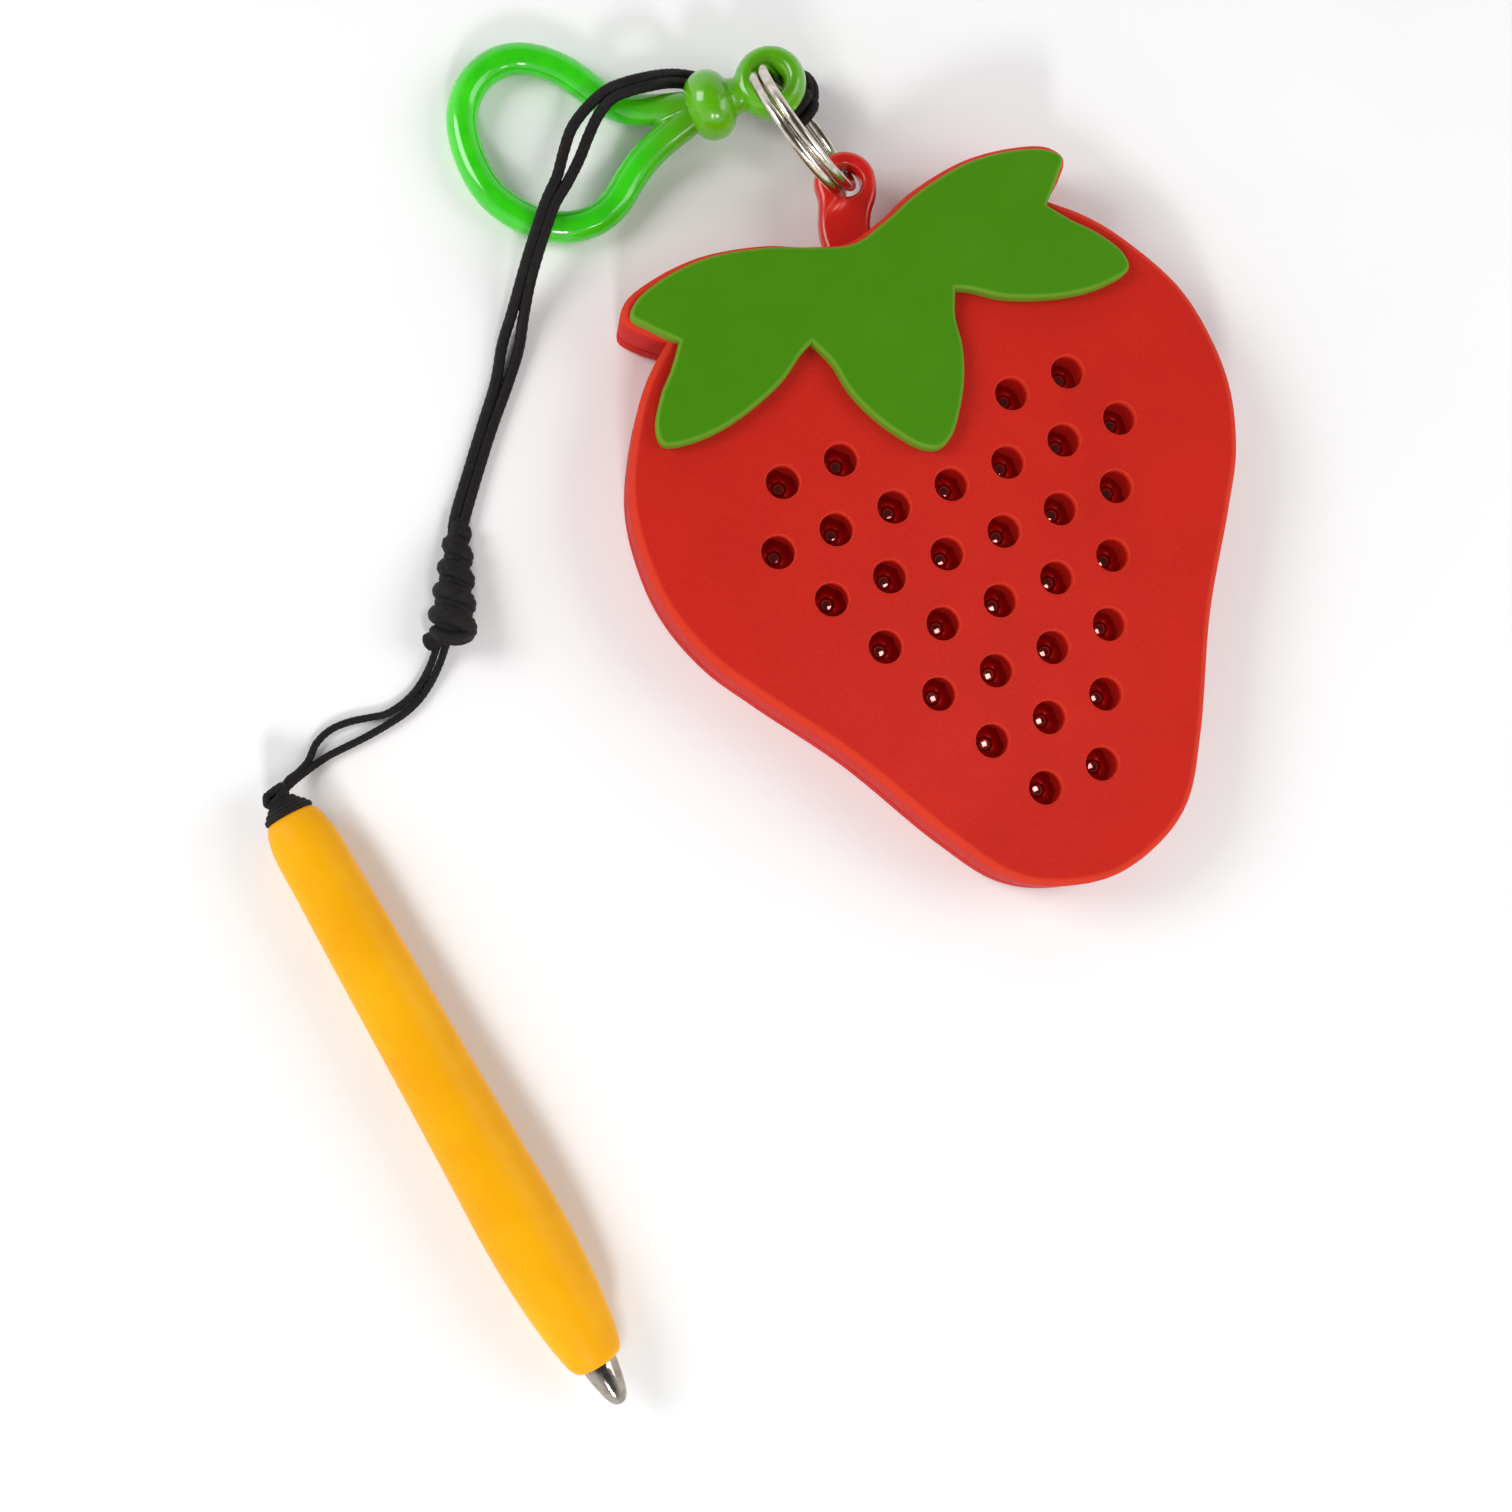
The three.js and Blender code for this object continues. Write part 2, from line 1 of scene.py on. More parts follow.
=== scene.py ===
# Looks of a strawberry-shaped magnetic ball drawing board on a key ring, with a clip loop and a corded
# magnet stylus. Metres, in the CAD's frame: origin on the flat back, +Y to the stem, +Z out of the face.
import math

import bmesh
import bpy
from mathutils import Matrix, Quaternion, Vector


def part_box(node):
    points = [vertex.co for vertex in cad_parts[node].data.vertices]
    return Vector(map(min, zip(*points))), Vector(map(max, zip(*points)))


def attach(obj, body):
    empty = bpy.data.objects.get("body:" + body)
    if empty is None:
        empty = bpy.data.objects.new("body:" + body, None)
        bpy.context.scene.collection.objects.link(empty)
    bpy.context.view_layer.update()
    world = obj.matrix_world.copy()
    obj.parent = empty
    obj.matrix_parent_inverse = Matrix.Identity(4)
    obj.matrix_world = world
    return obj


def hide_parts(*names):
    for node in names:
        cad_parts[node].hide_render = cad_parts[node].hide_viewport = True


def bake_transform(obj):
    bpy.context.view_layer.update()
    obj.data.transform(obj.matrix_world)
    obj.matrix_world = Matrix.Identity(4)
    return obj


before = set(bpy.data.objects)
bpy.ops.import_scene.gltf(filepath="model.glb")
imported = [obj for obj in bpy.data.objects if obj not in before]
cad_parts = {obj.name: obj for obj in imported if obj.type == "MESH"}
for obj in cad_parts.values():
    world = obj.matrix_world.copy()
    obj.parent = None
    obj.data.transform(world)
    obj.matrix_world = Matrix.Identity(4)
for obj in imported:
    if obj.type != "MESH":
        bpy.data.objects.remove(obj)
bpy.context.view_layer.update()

scene = bpy.context.scene

# ---------------------------------------------------------------- driving sizes and routes

# The CAD's own, but for the camera, the finish and a few that differ from the CAD
CAMERA_PLACE = (-0.05819, -0.01256, 0.20006)
CAMERA_AIM = (0.1514, 0.0381, -0.9877)
CAMERA_UP = (0.3738, 0.9228, 0.0929)
CAMERA_LENS = 47.62
SENSOR_WIDTH = 36

EDGE_ROUND = 0.0009
EDGE_FLAT = 0.0003
FACE_THICK = 0.001
WINDOW_R = 0.0017
WINDOW_LIP = 0.00016
WINDOW_FLAT = 0.00034
WALL = 0.0012
SEAM_FRONT = 0.00008
SEAM_BACK = 0.0002
STEM_EYE = (0.00285, 0.04565)
STEM_EYE_R = 0.00315
STEM_HOLE_R = 0.00165
RING_R = 0.00715
RING_WIRE_R = 0.000525
RING_TURN_PITCH = 0.00112
RING_CENTRE = (0.00015, 0.0513, 0.0076)
RING_HEADING = math.radians(-77)
RING_LEAN = math.radians(26)
RING_START = 4.39
RING_STEP = 0.45
RING_END_GAP = 0.12
HITCH_AT = -0.52
CLIP_EYE = (-0.0005, 0.0578, 0.0056)
CLIP_EYE_R = 0.0037
CLIP_HOLE_R = 0.00132
CLIP_EYE_HALF = 0.00195
CLIP_TURN = math.radians(-3.6)
CLIP_SLOPE = math.radians(-11)
LOOP_R = 0.00162
STRAP_R = 0.00056
STRING_R = 0.00037
STYLUS_TOP = (-0.0724, 0.0075, 0.0033)
STYLUS_TIP = (-0.0641, -0.05725, 0.0044)
STYLUS_HOLE_AT = 0.0026
STYLUS_HOLE_R = 0.0008
HITCH_KNOT = (-0.07275, 0.0087, 0.0034)
KNOT_FROM = (-0.0465, 0.02775, 0.0012)
KNOT_TO = (-0.0517, 0.0168, 0.00292)
KNOT_TAIL = [(-0.0512, 0.0177, 0.0021), (-0.0528, 0.0178, 0.0017), (-0.0537, 0.0178, 0.0014)]
KNOT_TAIL_R = 0.0009
KNOT_WRAP_R = 0.00098
KNOT_THIN_WRAP_R = 0.0007
KNOT_WRAP_SHIFT = 0.00115

# Half outlines, each from the mid-line to where the next stretch starts; LEAF_SIDE joins the leaf's two
BERRY_HALF = [
    (0, -0.0296), (0.006, -0.02825), (0.01, -0.0257), (0.014, -0.01995), (0.02, -0.00895),
    (0.026, -0.00015), (0.0292, 0.005), (0.03125, 0.011), (0.0316, 0.0165), (0.03055, 0.023),
    (0.0269, 0.03), (0.0242, 0.0334), (0.0211, 0.0361),
]
SHOULDER_HALF = [
    (0, 0.0392), (0.004, 0.0402), (0.008, 0.0418), (0.0145, 0.043), (0.02, 0.0425), (0.0234, 0.0413),
    (0.0245, 0.0396), (0.0232, 0.0378), (0.0211, 0.0361),
]
LEAF_TONGUE_HALF = [
    (0, 0.0162), (0.0016, 0.0169), (0.0034, 0.019), (0.0052, 0.022), (0.0063, 0.025), (0.0068, 0.028),
    (0.0079, 0.0306),
]
LEAF_SIDE = [
    (0.0079, 0.0306), (0.0092, 0.03), (0.0123, 0.028), (0.0182, 0.026), (0.0226, 0.0256),
    (0.0256, 0.0263), (0.0257, 0.028), (0.0239, 0.031), (0.022, 0.033), (0.0202, 0.0353),
]
LEAF_TOP_HALF = [
    (0, 0.03845), (0.004, 0.0395), (0.008, 0.041), (0.0142, 0.0422), (0.0195, 0.0417),
    (0.0227, 0.0405), (0.0237, 0.0393), (0.0225, 0.0377), (0.0202, 0.0353),
]

LOOP_ROUTE = [
    (-0.0129, 0.0605, 0.0028), (-0.0148, 0.0617, 0.00225), (-0.0164, 0.0635, 0.0019),
    (-0.0177, 0.0657, 0.00172), (-0.0191, 0.0677, 0.00168), (-0.021, 0.0694, 0.00166),
    (-0.023, 0.0704, 0.00165), (-0.025, 0.0706, 0.00165), (-0.0272, 0.07, 0.00165),
    (-0.0291, 0.0686, 0.00165), (-0.0305, 0.0665, 0.00165), (-0.0312, 0.0639, 0.00165),
    (-0.0313, 0.061, 0.00165), (-0.0308, 0.0582, 0.00165), (-0.0295, 0.0558, 0.00165),
    (-0.0278, 0.0539, 0.00165), (-0.026, 0.0527, 0.00165), (-0.024, 0.052, 0.00165),
    (-0.0215, 0.052, 0.00166), (-0.0192, 0.0529, 0.0017), (-0.0172, 0.0544, 0.00195),
    (-0.0152, 0.0557, 0.0023), (-0.0129, 0.0567, 0.00285),
]
LOOP_ROOTS = [(-0.0085, 0.0587, 0.0039), (-0.0085, 0.0579, 0.0039)]

# Each row is a point of a doubled cord's middle line, and half the distance between its two strands
STRAP_ROUTE = [
    (0.00005, 0.0573, 0.00066, 0.00062), (-0.0013, 0.0584, 0.00062, 0.00062),
    (-0.0026, 0.0595, 0.00062, 0.0006), (-0.0042, 0.0609, 0.00065, 0.00056),
    (-0.006, 0.0619, 0.0011, 0.00052), (-0.008, 0.06245, 0.0024, 0.00048),
    (-0.0102, 0.0624, 0.0042, 0.00046), (-0.0123, 0.0622, 0.0055, 0.00046),
    (-0.0143, 0.0623, 0.0057, 0.00046), (-0.0162, 0.0624, 0.0051, 0.0005),
    (-0.0183, 0.0616, 0.0044, 0.00068), (-0.0203, 0.0601, 0.00415, 0.00092),
    (-0.022, 0.0582, 0.00405, 0.00086), (-0.0238, 0.0562, 0.0041, 0.0006),
    (-0.0258, 0.0544, 0.0042, 0.00046), (-0.0276, 0.0523, 0.00425, 0.00044),
    (-0.0292, 0.0504, 0.0039, 0.00044), (-0.031, 0.0482, 0.0027, 0.00046),
    (-0.0329, 0.0456, 0.0015, 0.0006), (-0.0348, 0.0429, 0.0008, 0.00084),
    (-0.037, 0.0398, 0.00062, 0.0006), (-0.04, 0.0362, 0.0006, 0.00048),
    (-0.0432, 0.0322, 0.0006, 0.00046), (-0.04615, 0.02835, 0.0008, 0.00046),
    (-0.0468, 0.0273, 0.001, 0.0004), (-0.0473, 0.0262, 0.0013, 0.0003),
]
STRING_ROUTE = [
    (-0.0520, 0.0177, 0.0018, 0.00038), (-0.05285, 0.01675, 0.0012, 0.0004),
    (-0.0539, 0.0156, 0.0007, 0.0004), (-0.0553, 0.01435, 0.00044, 0.0004),
    (-0.0569, 0.0133, 0.0004, 0.00042), (-0.0586, 0.01265, 0.0004, 0.00045),
    (-0.0602, 0.01235, 0.0004, 0.0005), (-0.062, 0.01235, 0.0004, 0.0008),
    (-0.0638, 0.0124, 0.0004, 0.00105), (-0.0656, 0.0123, 0.0004, 0.0011),
    (-0.0672, 0.01185, 0.00045, 0.00085), (-0.0687, 0.011, 0.0006, 0.00035),
    (-0.07, 0.0104, 0.0012, 0.0002), (-0.0713, 0.0098, 0.0023, 0.0002),
]


# ---------------------------------------------------------------- lines and outlines

def spline_point(points, t):
    """The centripetal Catmull-Rom spline through the points, at t from 0 to 1."""
    last = len(points) - 1
    i = min(int(t * last), last - 1)
    w = t * last - i
    b, c = points[i], points[i + 1]
    a = points[i - 1] if i > 0 else 2 * b - c
    d = points[i + 2] if i + 2 <= last else 2 * c - b
    ab, bc, cd = (max((q - p).length, 1e-7) ** 0.5 for p, q in ((a, b), (b, c), (c, d)))
    start = ((b - a) / ab - (c - a) / (ab + bc) + (c - b) / bc) * bc
    end = ((c - b) / bc - (d - b) / (bc + cd) + (d - c) / cd) * bc
    cubic = 2 * b - 2 * c + start + end
    square = 3 * c - 3 * b - 2 * start - end
    return b + start * w + square * w ** 2 + cubic * w ** 3


def spaced(points, step):
    """Points a step apart along the spline through the given points."""
    points = [Vector(p) for p in points]
    rough = [spline_point(points, i / (24 * len(points))) for i in range(24 * len(points) + 1)]
    far = [0.0]
    for p, q in zip(rough, rough[1:]):
        far.append(far[-1] + (q - p).length)
    count = max(2, round(far[-1] / step))
    line, k = [], 0
    for i in range(count + 1):
        goal = far[-1] * i / count
        while k < len(far) - 2 and far[k + 1] < goal:
            k += 1
        share = (goal - far[k]) / (far[k + 1] - far[k])
        line.append(rough[k].lerp(rough[k + 1], share))
    return line


def mirrored(half, step):
    """A half outline and its mirror image, as one line of points a step apart."""
    left = [(-x, y) for x, y in reversed(half[1:])]
    return spaced([(x, y, 0) for x, y in left + half], step)


def berry_outline():
    upper = list(reversed(mirrored(SHOULDER_HALF, 0.0005)))
    return mirrored(BERRY_HALF, 0.0006) + upper[1:-1]


def leaf_outline():
    side = spaced([(x, y, 0) for x, y in LEAF_SIDE], 0.0004)
    flipped = [Vector((-p.x, p.y, 0)) for p in reversed(side)]
    top = list(reversed(mirrored(LEAF_TOP_HALF, 0.0004)))
    return mirrored(LEAF_TONGUE_HALF, 0.0004) + side[1:] + top[1:] + flipped[1:-1]


def bezier(points, count):
    """Points along a Bezier curve, without its last one."""
    line = []
    for i in range(count):
        left = [Vector(p) for p in points]
        while len(left) > 1:
            left = [p.lerp(q, i / count) for p, q in zip(left, left[1:])]
        line.append(left[0])
    return line


def stem_outline():
    """The stem's outline, anticlockwise: foot, right side, round eye and left side."""
    x, y = STEM_EYE
    right = [(0.0033, 0.0364, 0), (0.0026, 0.039, 0), (0.0034, 0.0412, 0), (0.0046, 0.0424, 0)]
    neck = [right[-1], (0.0057, 0.0435, 0), (x + STEM_EYE_R, y, 0)]
    left = [(x - STEM_EYE_R, y, 0), (x - STEM_EYE_R, 0.0441, 0), (-0.0018, 0.0431, 0), (-0.0019, 0.04, 0)]
    eye = [
        Vector((x + STEM_EYE_R * math.cos(a), y + STEM_EYE_R * math.sin(a), 0))
        for a in (math.pi * i / 30 for i in range(30))
    ]
    foot = bezier([(-0.0019, 0.04, 0), (-0.0021, 0.0364, 0)], 10)
    base = bezier([(-0.0021, 0.0364, 0), (0.0033, 0.0364, 0)], 12)
    return bezier(right, 16) + bezier(neck, 8) + eye + bezier(left, 14) + foot + base


def circle(x, y, radius, count, z=0.0):
    turns = (2 * math.pi * i / count for i in range(count))
    return [Vector((x + radius * math.cos(a), y + radius * math.sin(a), z)) for a in turns]


def inset(outline, depth):
    """An anticlockwise outline moved inwards; a corner moves further, so that its sides stay parallel."""
    moved = []
    for i, p in enumerate(outline):
        before = (p - outline[i - 1]).normalized()
        after = (outline[(i + 1) % len(outline)] - p).normalized()
        along = (before + after).normalized()
        reach = depth / max(along.dot(after), 0.75)
        moved.append(Vector((p.x - along.y * reach, p.y + along.x * reach, 0)))
    return moved


# ---------------------------------------------------------------- pieces

def add_piece(name, mesh, material, body, replaces):
    piece = bpy.data.objects.new(name, mesh)
    scene.collection.objects.link(piece)
    mesh.materials.clear()
    mesh.materials.append(material)
    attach(piece, body)
    if replaces:
        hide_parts(*replaces)
    return piece


def to_mesh(bm, name, sharp_degrees=None):
    bmesh.ops.recalc_face_normals(bm, faces=bm.faces)
    mesh = bpy.data.meshes.new(name)
    bm.to_mesh(mesh)
    bm.free()
    mesh.shade_smooth()
    if sharp_degrees:
        mesh.set_sharp_from_angle(angle=math.radians(sharp_degrees))
    return mesh


def skin(bm, rings, closed=False):
    """Quads between rings of points; returns the rings as vertices."""
    rings = [[bm.verts.new(p) for p in ring] for ring in rings]
    pairs = list(zip(rings, rings[1:] + rings[:1] if closed else rings[1:]))
    for low, high in pairs:
        count = len(low)
        for i in range(count):
            j = (i + 1) % count
            bm.faces.new((low[i], low[j], high[j], high[i]))
    return rings


def fill(bm, *rings):
    """A flat face inside the first ring and outside the others."""
    edges = [bm.edges.get((ring[i - 1], ring[i])) for ring in rings for i in range(len(ring))]
    bmesh.ops.triangle_fill(bm, use_beauty=True, use_dissolve=False, edges=edges)


def wall(bm, outline, profile):
    """A wall round an outline, from pairs of inward depth and height."""
    rings = []
    for depth, height in profile:
        rings.append([Vector((p.x, p.y, height)) for p in inset(outline, depth)])
    return skin(bm, rings)


def quarter(edge, height, turn_up=True, steps=6):
    """Depth and height pairs that round an edge of this radius over to a face at this height."""
    sign = 1 if turn_up else -1
    pairs = []
    for i in range(steps + 1):
        a = math.pi / 2 * i / steps
        pairs.append((edge * (1 - math.cos(a)), height - sign * edge * (1 - math.sin(a))))
    return pairs if turn_up else pairs[::-1]


def carried_sides(line):
    """A tangent and a sideways direction for every point of a line, carried along it without twist."""
    tangents = []
    for i in range(len(line)):
        a, b = line[max(i - 1, 0)], line[min(i + 1, len(line) - 1)]
        tangents.append((b - a).normalized())
    side = tangents[0].cross(Vector((0, 0, 1)))
    if side.length < 0.1:
        side = tangents[0].orthogonal()
    side.normalize()
    sides = [side.copy()]
    for before, after in zip(tangents, tangents[1:]):
        side = before.rotation_difference(after) @ side
        side = (side - after * side.dot(after)).normalized()
        sides.append(side.copy())
    return tangents, sides


def tube_rings(line, radius, sides, height, dome):
    """Rings of a tube along a line, with domed ends. height(angle, distance) is a share of the radius."""
    tangents, across = carried_sides(line)
    rings, distance = [], 0.0
    for i, point in enumerate(line):
        distance += (line[i] - line[i - 1]).length if i else 0.0
        up = across[i].cross(tangents[i])
        ring = []
        for k in range(sides):
            a = 2 * math.pi * k / sides
            r = radius * (height(a, distance) if height else 1.0)
            ring.append(point + (across[i] * math.cos(a) + up * math.sin(a)) * r)
        rings.append(ring)
    for end, tangent in ((0, -tangents[0]), (-1, tangents[-1])):
        outward = [(0.88, 0.45), (0.55, 0.85)]
        middle, rim = line[end], rings[end]
        extra = [
            [middle + (p - middle) * share + tangent * radius * dome * push for p in rim]
            for share, push in outward
        ]
        rings = extra[::-1] + rings if end == 0 else rings + extra
    return rings


def add_tube(bm, line, radius, sides, height=None, dome=0.5):
    rings = skin(bm, tube_rings(line, radius, sides, height, dome))
    bm.faces.new(rings[0][::-1])
    bm.faces.new(rings[-1])


def lathe_rings(profile, start, direction, sides):
    """Rings round an axis, from pairs of radius and distance along it."""
    start, direction = Vector(start), Vector(direction).normalized()
    side = direction.orthogonal().normalized()
    up = direction.cross(side)
    rings = []
    for radius, distance in profile:
        middle = start + direction * distance
        rings.append([
            middle + (side * math.cos(a) + up * math.sin(a)) * radius
            for a in (2 * math.pi * k / sides for k in range(sides))
        ])
    return rings


def add_lathe(bm, profile, start, direction, sides):
    rings = skin(bm, lathe_rings(profile, start, direction, sides))
    bm.faces.new(rings[0][::-1])
    bm.faces.new(rings[-1])


def smooth_profile(profile, step):
    line = spaced([(r, s, 0) for r, s in profile], step)
    return [(max(p.x, 1e-6), p.y) for p in line]


def braid(carriers, pitch, depth):
    """The height of a braided cord's surface: small diamonds where its carriers cross."""
    def height(angle, distance):
        turn = 2 * math.pi * distance / pitch
        rise = abs(math.sin(carriers * angle / 2 + turn) * math.sin(carriers * angle / 2 - turn))
        return 1 - 0.6 * depth + depth * math.sqrt(rise)
    return height


STRAP_BRAID = braid(8, 0.0018, 0.16)
STRING_BRAID = braid(6, 0.0012, 0.16)
STRAP_STEP = 0.00013
STRING_STEP = 0.0001


def add_strap_cord(bm, route, radius=STRAP_R):
    line = spaced(route, STRAP_STEP)
    add_tube(bm, line, radius, 24, STRAP_BRAID)
    return line


def add_string_cord(bm, route):
    line = spaced(route, STRING_STEP)
    add_tube(bm, line, STRING_R, 18, STRING_BRAID)
    return line


def remeshed(mesh, name, voxel, rounds):
    """One smooth skin over everything in the mesh, its inner corners blended."""
    piece = bpy.data.objects.new(name, mesh)
    scene.collection.objects.link(piece)
    remesh = piece.modifiers.new("skin", "REMESH")
    remesh.mode = "VOXEL"
    remesh.voxel_size = voxel
    blend = piece.modifiers.new("blend", "SMOOTH")
    blend.factor = 0.5
    blend.iterations = rounds
    graph = bpy.context.evaluated_depsgraph_get()
    done = bpy.data.meshes.new_from_object(piece.evaluated_get(graph))
    bpy.data.objects.remove(piece)
    done.name = name
    done.shade_smooth()
    return done


# ---------------------------------------------------------------- materials

def new_material(name, **sockets):
    """A material and its Principled shader; sockets are given by name, with _ for a space."""
    material = bpy.data.materials.new(name)
    material.use_nodes = True
    shader = material.node_tree.nodes["Principled BSDF"]
    for socket, value in sockets.items():
        shader.inputs[socket.replace("_", " ")].default_value = value
    return material, material.node_tree, shader


def add_node(tree, kind, inputs=None, **settings):
    node = tree.nodes.new(kind)
    for key, value in settings.items():
        setattr(node, key, value)
    for socket, value in (inputs or {}).items():
        if isinstance(value, bpy.types.NodeSocket):
            tree.links.new(value, node.inputs[socket])
        else:
            node.inputs[socket].default_value = value
    return node


def place_of(tree):
    return add_node(tree, "ShaderNodeTexCoord").outputs["Object"]


def place_along(tree, axis):
    return add_node(tree, "ShaderNodeSeparateXYZ", {0: place_of(tree)}).outputs[axis]


def grain(tree, size, detail, stretch=None):
    """Noise from 0 to 1, whose features are about this size; stretch makes them longer along an axis."""
    place = place_of(tree)
    if stretch:
        place = add_node(tree, "ShaderNodeMapping", {"Vector": place, "Scale": stretch}).outputs[0]
    inputs = {"Vector": place, "Scale": 1 / size, "Detail": detail, "Roughness": 0.55}
    return add_node(tree, "ShaderNodeTexNoise", inputs).outputs["Fac"]


def uneven(tree, size, low, high):
    """Noise of about this size, spread between two values."""
    return add_node(tree, "ShaderNodeMapRange", {
        "Value": grain(tree, size, 3.0), "From Min": 0.3, "From Max": 0.7, "To Min": low, "To Max": high,
    }).outputs[0]


def maths(tree, operation, a, b):
    return add_node(tree, "ShaderNodeMath", {0: a, 1: b}, operation=operation).outputs[0]


def ramp(tree, value, stops):
    """Colours, or greys where a stop has one number, spread over a value."""
    node = add_node(tree, "ShaderNodeValToRGB", {"Fac": value})
    elements = node.color_ramp.elements
    while len(elements) < len(stops):
        elements.new(0.5)
    for element, (position, colour) in zip(elements, stops):
        element.position = position
        element.color = (*colour, 1) if isinstance(colour, tuple) else (colour, colour, colour, 1)
    return node.outputs["Color"]


def blend_colours(tree, factor, a, b):
    """A mix of two colours. The node's inputs 6 and 7 are the colours, and its output 2 the mixed one."""
    node = add_node(tree, "ShaderNodeMix", {0: factor}, data_type="RGBA")
    for index, colour in ((6, a), (7, b)):
        if isinstance(colour, tuple):
            node.inputs[index].default_value = (*colour, 1)
        else:
            tree.links.new(colour, node.inputs[index])
    return node.outputs[2]


def bump(tree, height, distance, strength, normal=None):
    inputs = {"Height": height, "Distance": distance, "Strength": strength}
    if normal:
        inputs["Normal"] = normal
    return add_node(tree, "ShaderNodeBump", inputs).outputs[0]


def scratches(tree, size, amount):
    """Thin marks, 1 on a mark and 0 off it, from stretched noise."""
    lines = grain(tree, size, 3.0, (1.0, 9.0, 1.0))
    return ramp(tree, lines, [(0.5, 0.0), (0.505, amount), (0.515, 0.0)])


# Just under the flat face
FACE_LEVEL = 0.00798

# Heights in centimetres, to suit a ramp's range from 0 to 1, with the share of the edge's colour: a lighter
# band just under the face, partly wear and partly a painted highlight
CENTIMETRES = 100.0
RED_EDGE_WEAR_AND_HIGHLIGHT = [(0.7, 0.0), (0.76, 0.35), (0.796, 0.35), (0.7995, 0.0)]


def moulded_red(name, roughness, grainy):
    """Mottled red ABS. A grainy one has a spark-eroded grain on the flat face only, and a lighter band round
    it on the rounded edges and window walls, partly wear and partly a painted highlight; the other is
    glossy, and brighter all over.
    """
    material, tree, shader = new_material(name, IOR=1.5, Specular_IOR_Level=0.08 if grainy else 0.5)
    link = tree.links.new
    mottle = ramp(tree, grain(tree, 0.011, 4.0), [
        (0.3, (0.47, 0.0095, 0.005)), (0.5, (0.505, 0.0105, 0.0058)), (0.72, (0.54, 0.013, 0.0072)),
    ])
    fine = ramp(tree, grain(tree, 0.00032, 3.0), [(0.3, (0.36, 0.006, 0.004)), (0.75, (0.64, 0.03, 0.02))])
    colour = blend_colours(tree, 0.16 if grainy else 0.05, mottle, fine)
    colour = blend_colours(tree, scratches(tree, 0.0024, 0.15), colour, (0.7, 0.1, 0.07))
    height = place_along(tree, "Z")
    # Lighter just under the face: partly edge wear, partly a painted highlight
    if grainy:
        edge = ramp(tree, maths(tree, "MULTIPLY", height, CENTIMETRES), RED_EDGE_WEAR_AND_HIGHLIGHT)
        colour = blend_colours(tree, edge, colour, (0.80, 0.085, 0.03))
    else:
        colour = blend_colours(tree, 0.55, colour, (0.70, 0.014, 0.008))
    link(colour, shader.inputs["Base Color"])
    face = maths(tree, "GREATER_THAN", height, FACE_LEVEL) if grainy else 0.0
    tooth = grain(tree, 0.00026, 3.0)
    rough = uneven(tree, 0.0006, roughness - 0.05, roughness + 0.07)
    link(maths(tree, "ADD", rough, maths(tree, "MULTIPLY", face, 0.12)), shader.inputs["Roughness"])
    soft = bump(tree, grain(tree, 0.006, 2.0), 0.00012, 0.5)
    marked = maths(tree, "MULTIPLY", tooth, maths(tree, "ADD", maths(tree, "MULTIPLY", face, 0.9), 0.1))
    link(bump(tree, marked, 0.00005, 0.85, soft), shader.inputs["Normal"])
    return material


def moulded_plain(
    name, dark, middle, light, roughness, coat=0.0, tooth=0.00001, shine=0.38, rim=None, glow=0.0,
):
    """Moulded plastic: soft mottling, a fine tooth and a few handling marks.

    rim is the height of an edge lightened by a painted highlight, and that highlight's colour; glow is a
    painted glow, an emission that stands in for the light that comes through thin walls.
    """
    material, tree, shader = new_material(
        name, IOR=1.5, Specular_IOR_Level=shine, Coat_Weight=coat, Coat_Roughness=0.08,
        Emission_Strength=glow,
    )
    shader.inputs["Emission Color"].default_value = (*middle, 1)
    link = tree.links.new
    mottle = ramp(tree, grain(tree, 0.008, 4.0), [(0.3, dark), (0.5, middle), (0.72, light)])
    specks = ramp(tree, grain(tree, 0.0003, 2.0), [(0.62, 0.0), (0.8, 0.3)])
    speckled = blend_colours(tree, specks, mottle, light)
    pale = tuple(min(1.0, c * 1.2 + 0.12) for c in light)
    colour = blend_colours(tree, scratches(tree, 0.002, 0.08), speckled, pale)
    # A painted highlight: the edge just under the top is lightened towards the rim colour
    if rim:
        top = rim[0] * CENTIMETRES
        height = place_along(tree, "Z")
        edge = ramp(tree, maths(tree, "MULTIPLY", height, CENTIMETRES), [
            (top - 0.05, 0.5), (top - 0.006, 0.5), (top - 0.0008, 0.0),
        ])
        colour = blend_colours(tree, edge, colour, rim[1])
    link(colour, shader.inputs["Base Color"])
    link(uneven(tree, 0.0012, roughness - 0.04, roughness + 0.05), shader.inputs["Roughness"])
    soft = bump(tree, grain(tree, 0.004, 2.0), 0.00006, 0.5)
    link(bump(tree, grain(tree, 0.0004, 3.0), tooth, 0.7, soft), shader.inputs["Normal"])
    return material


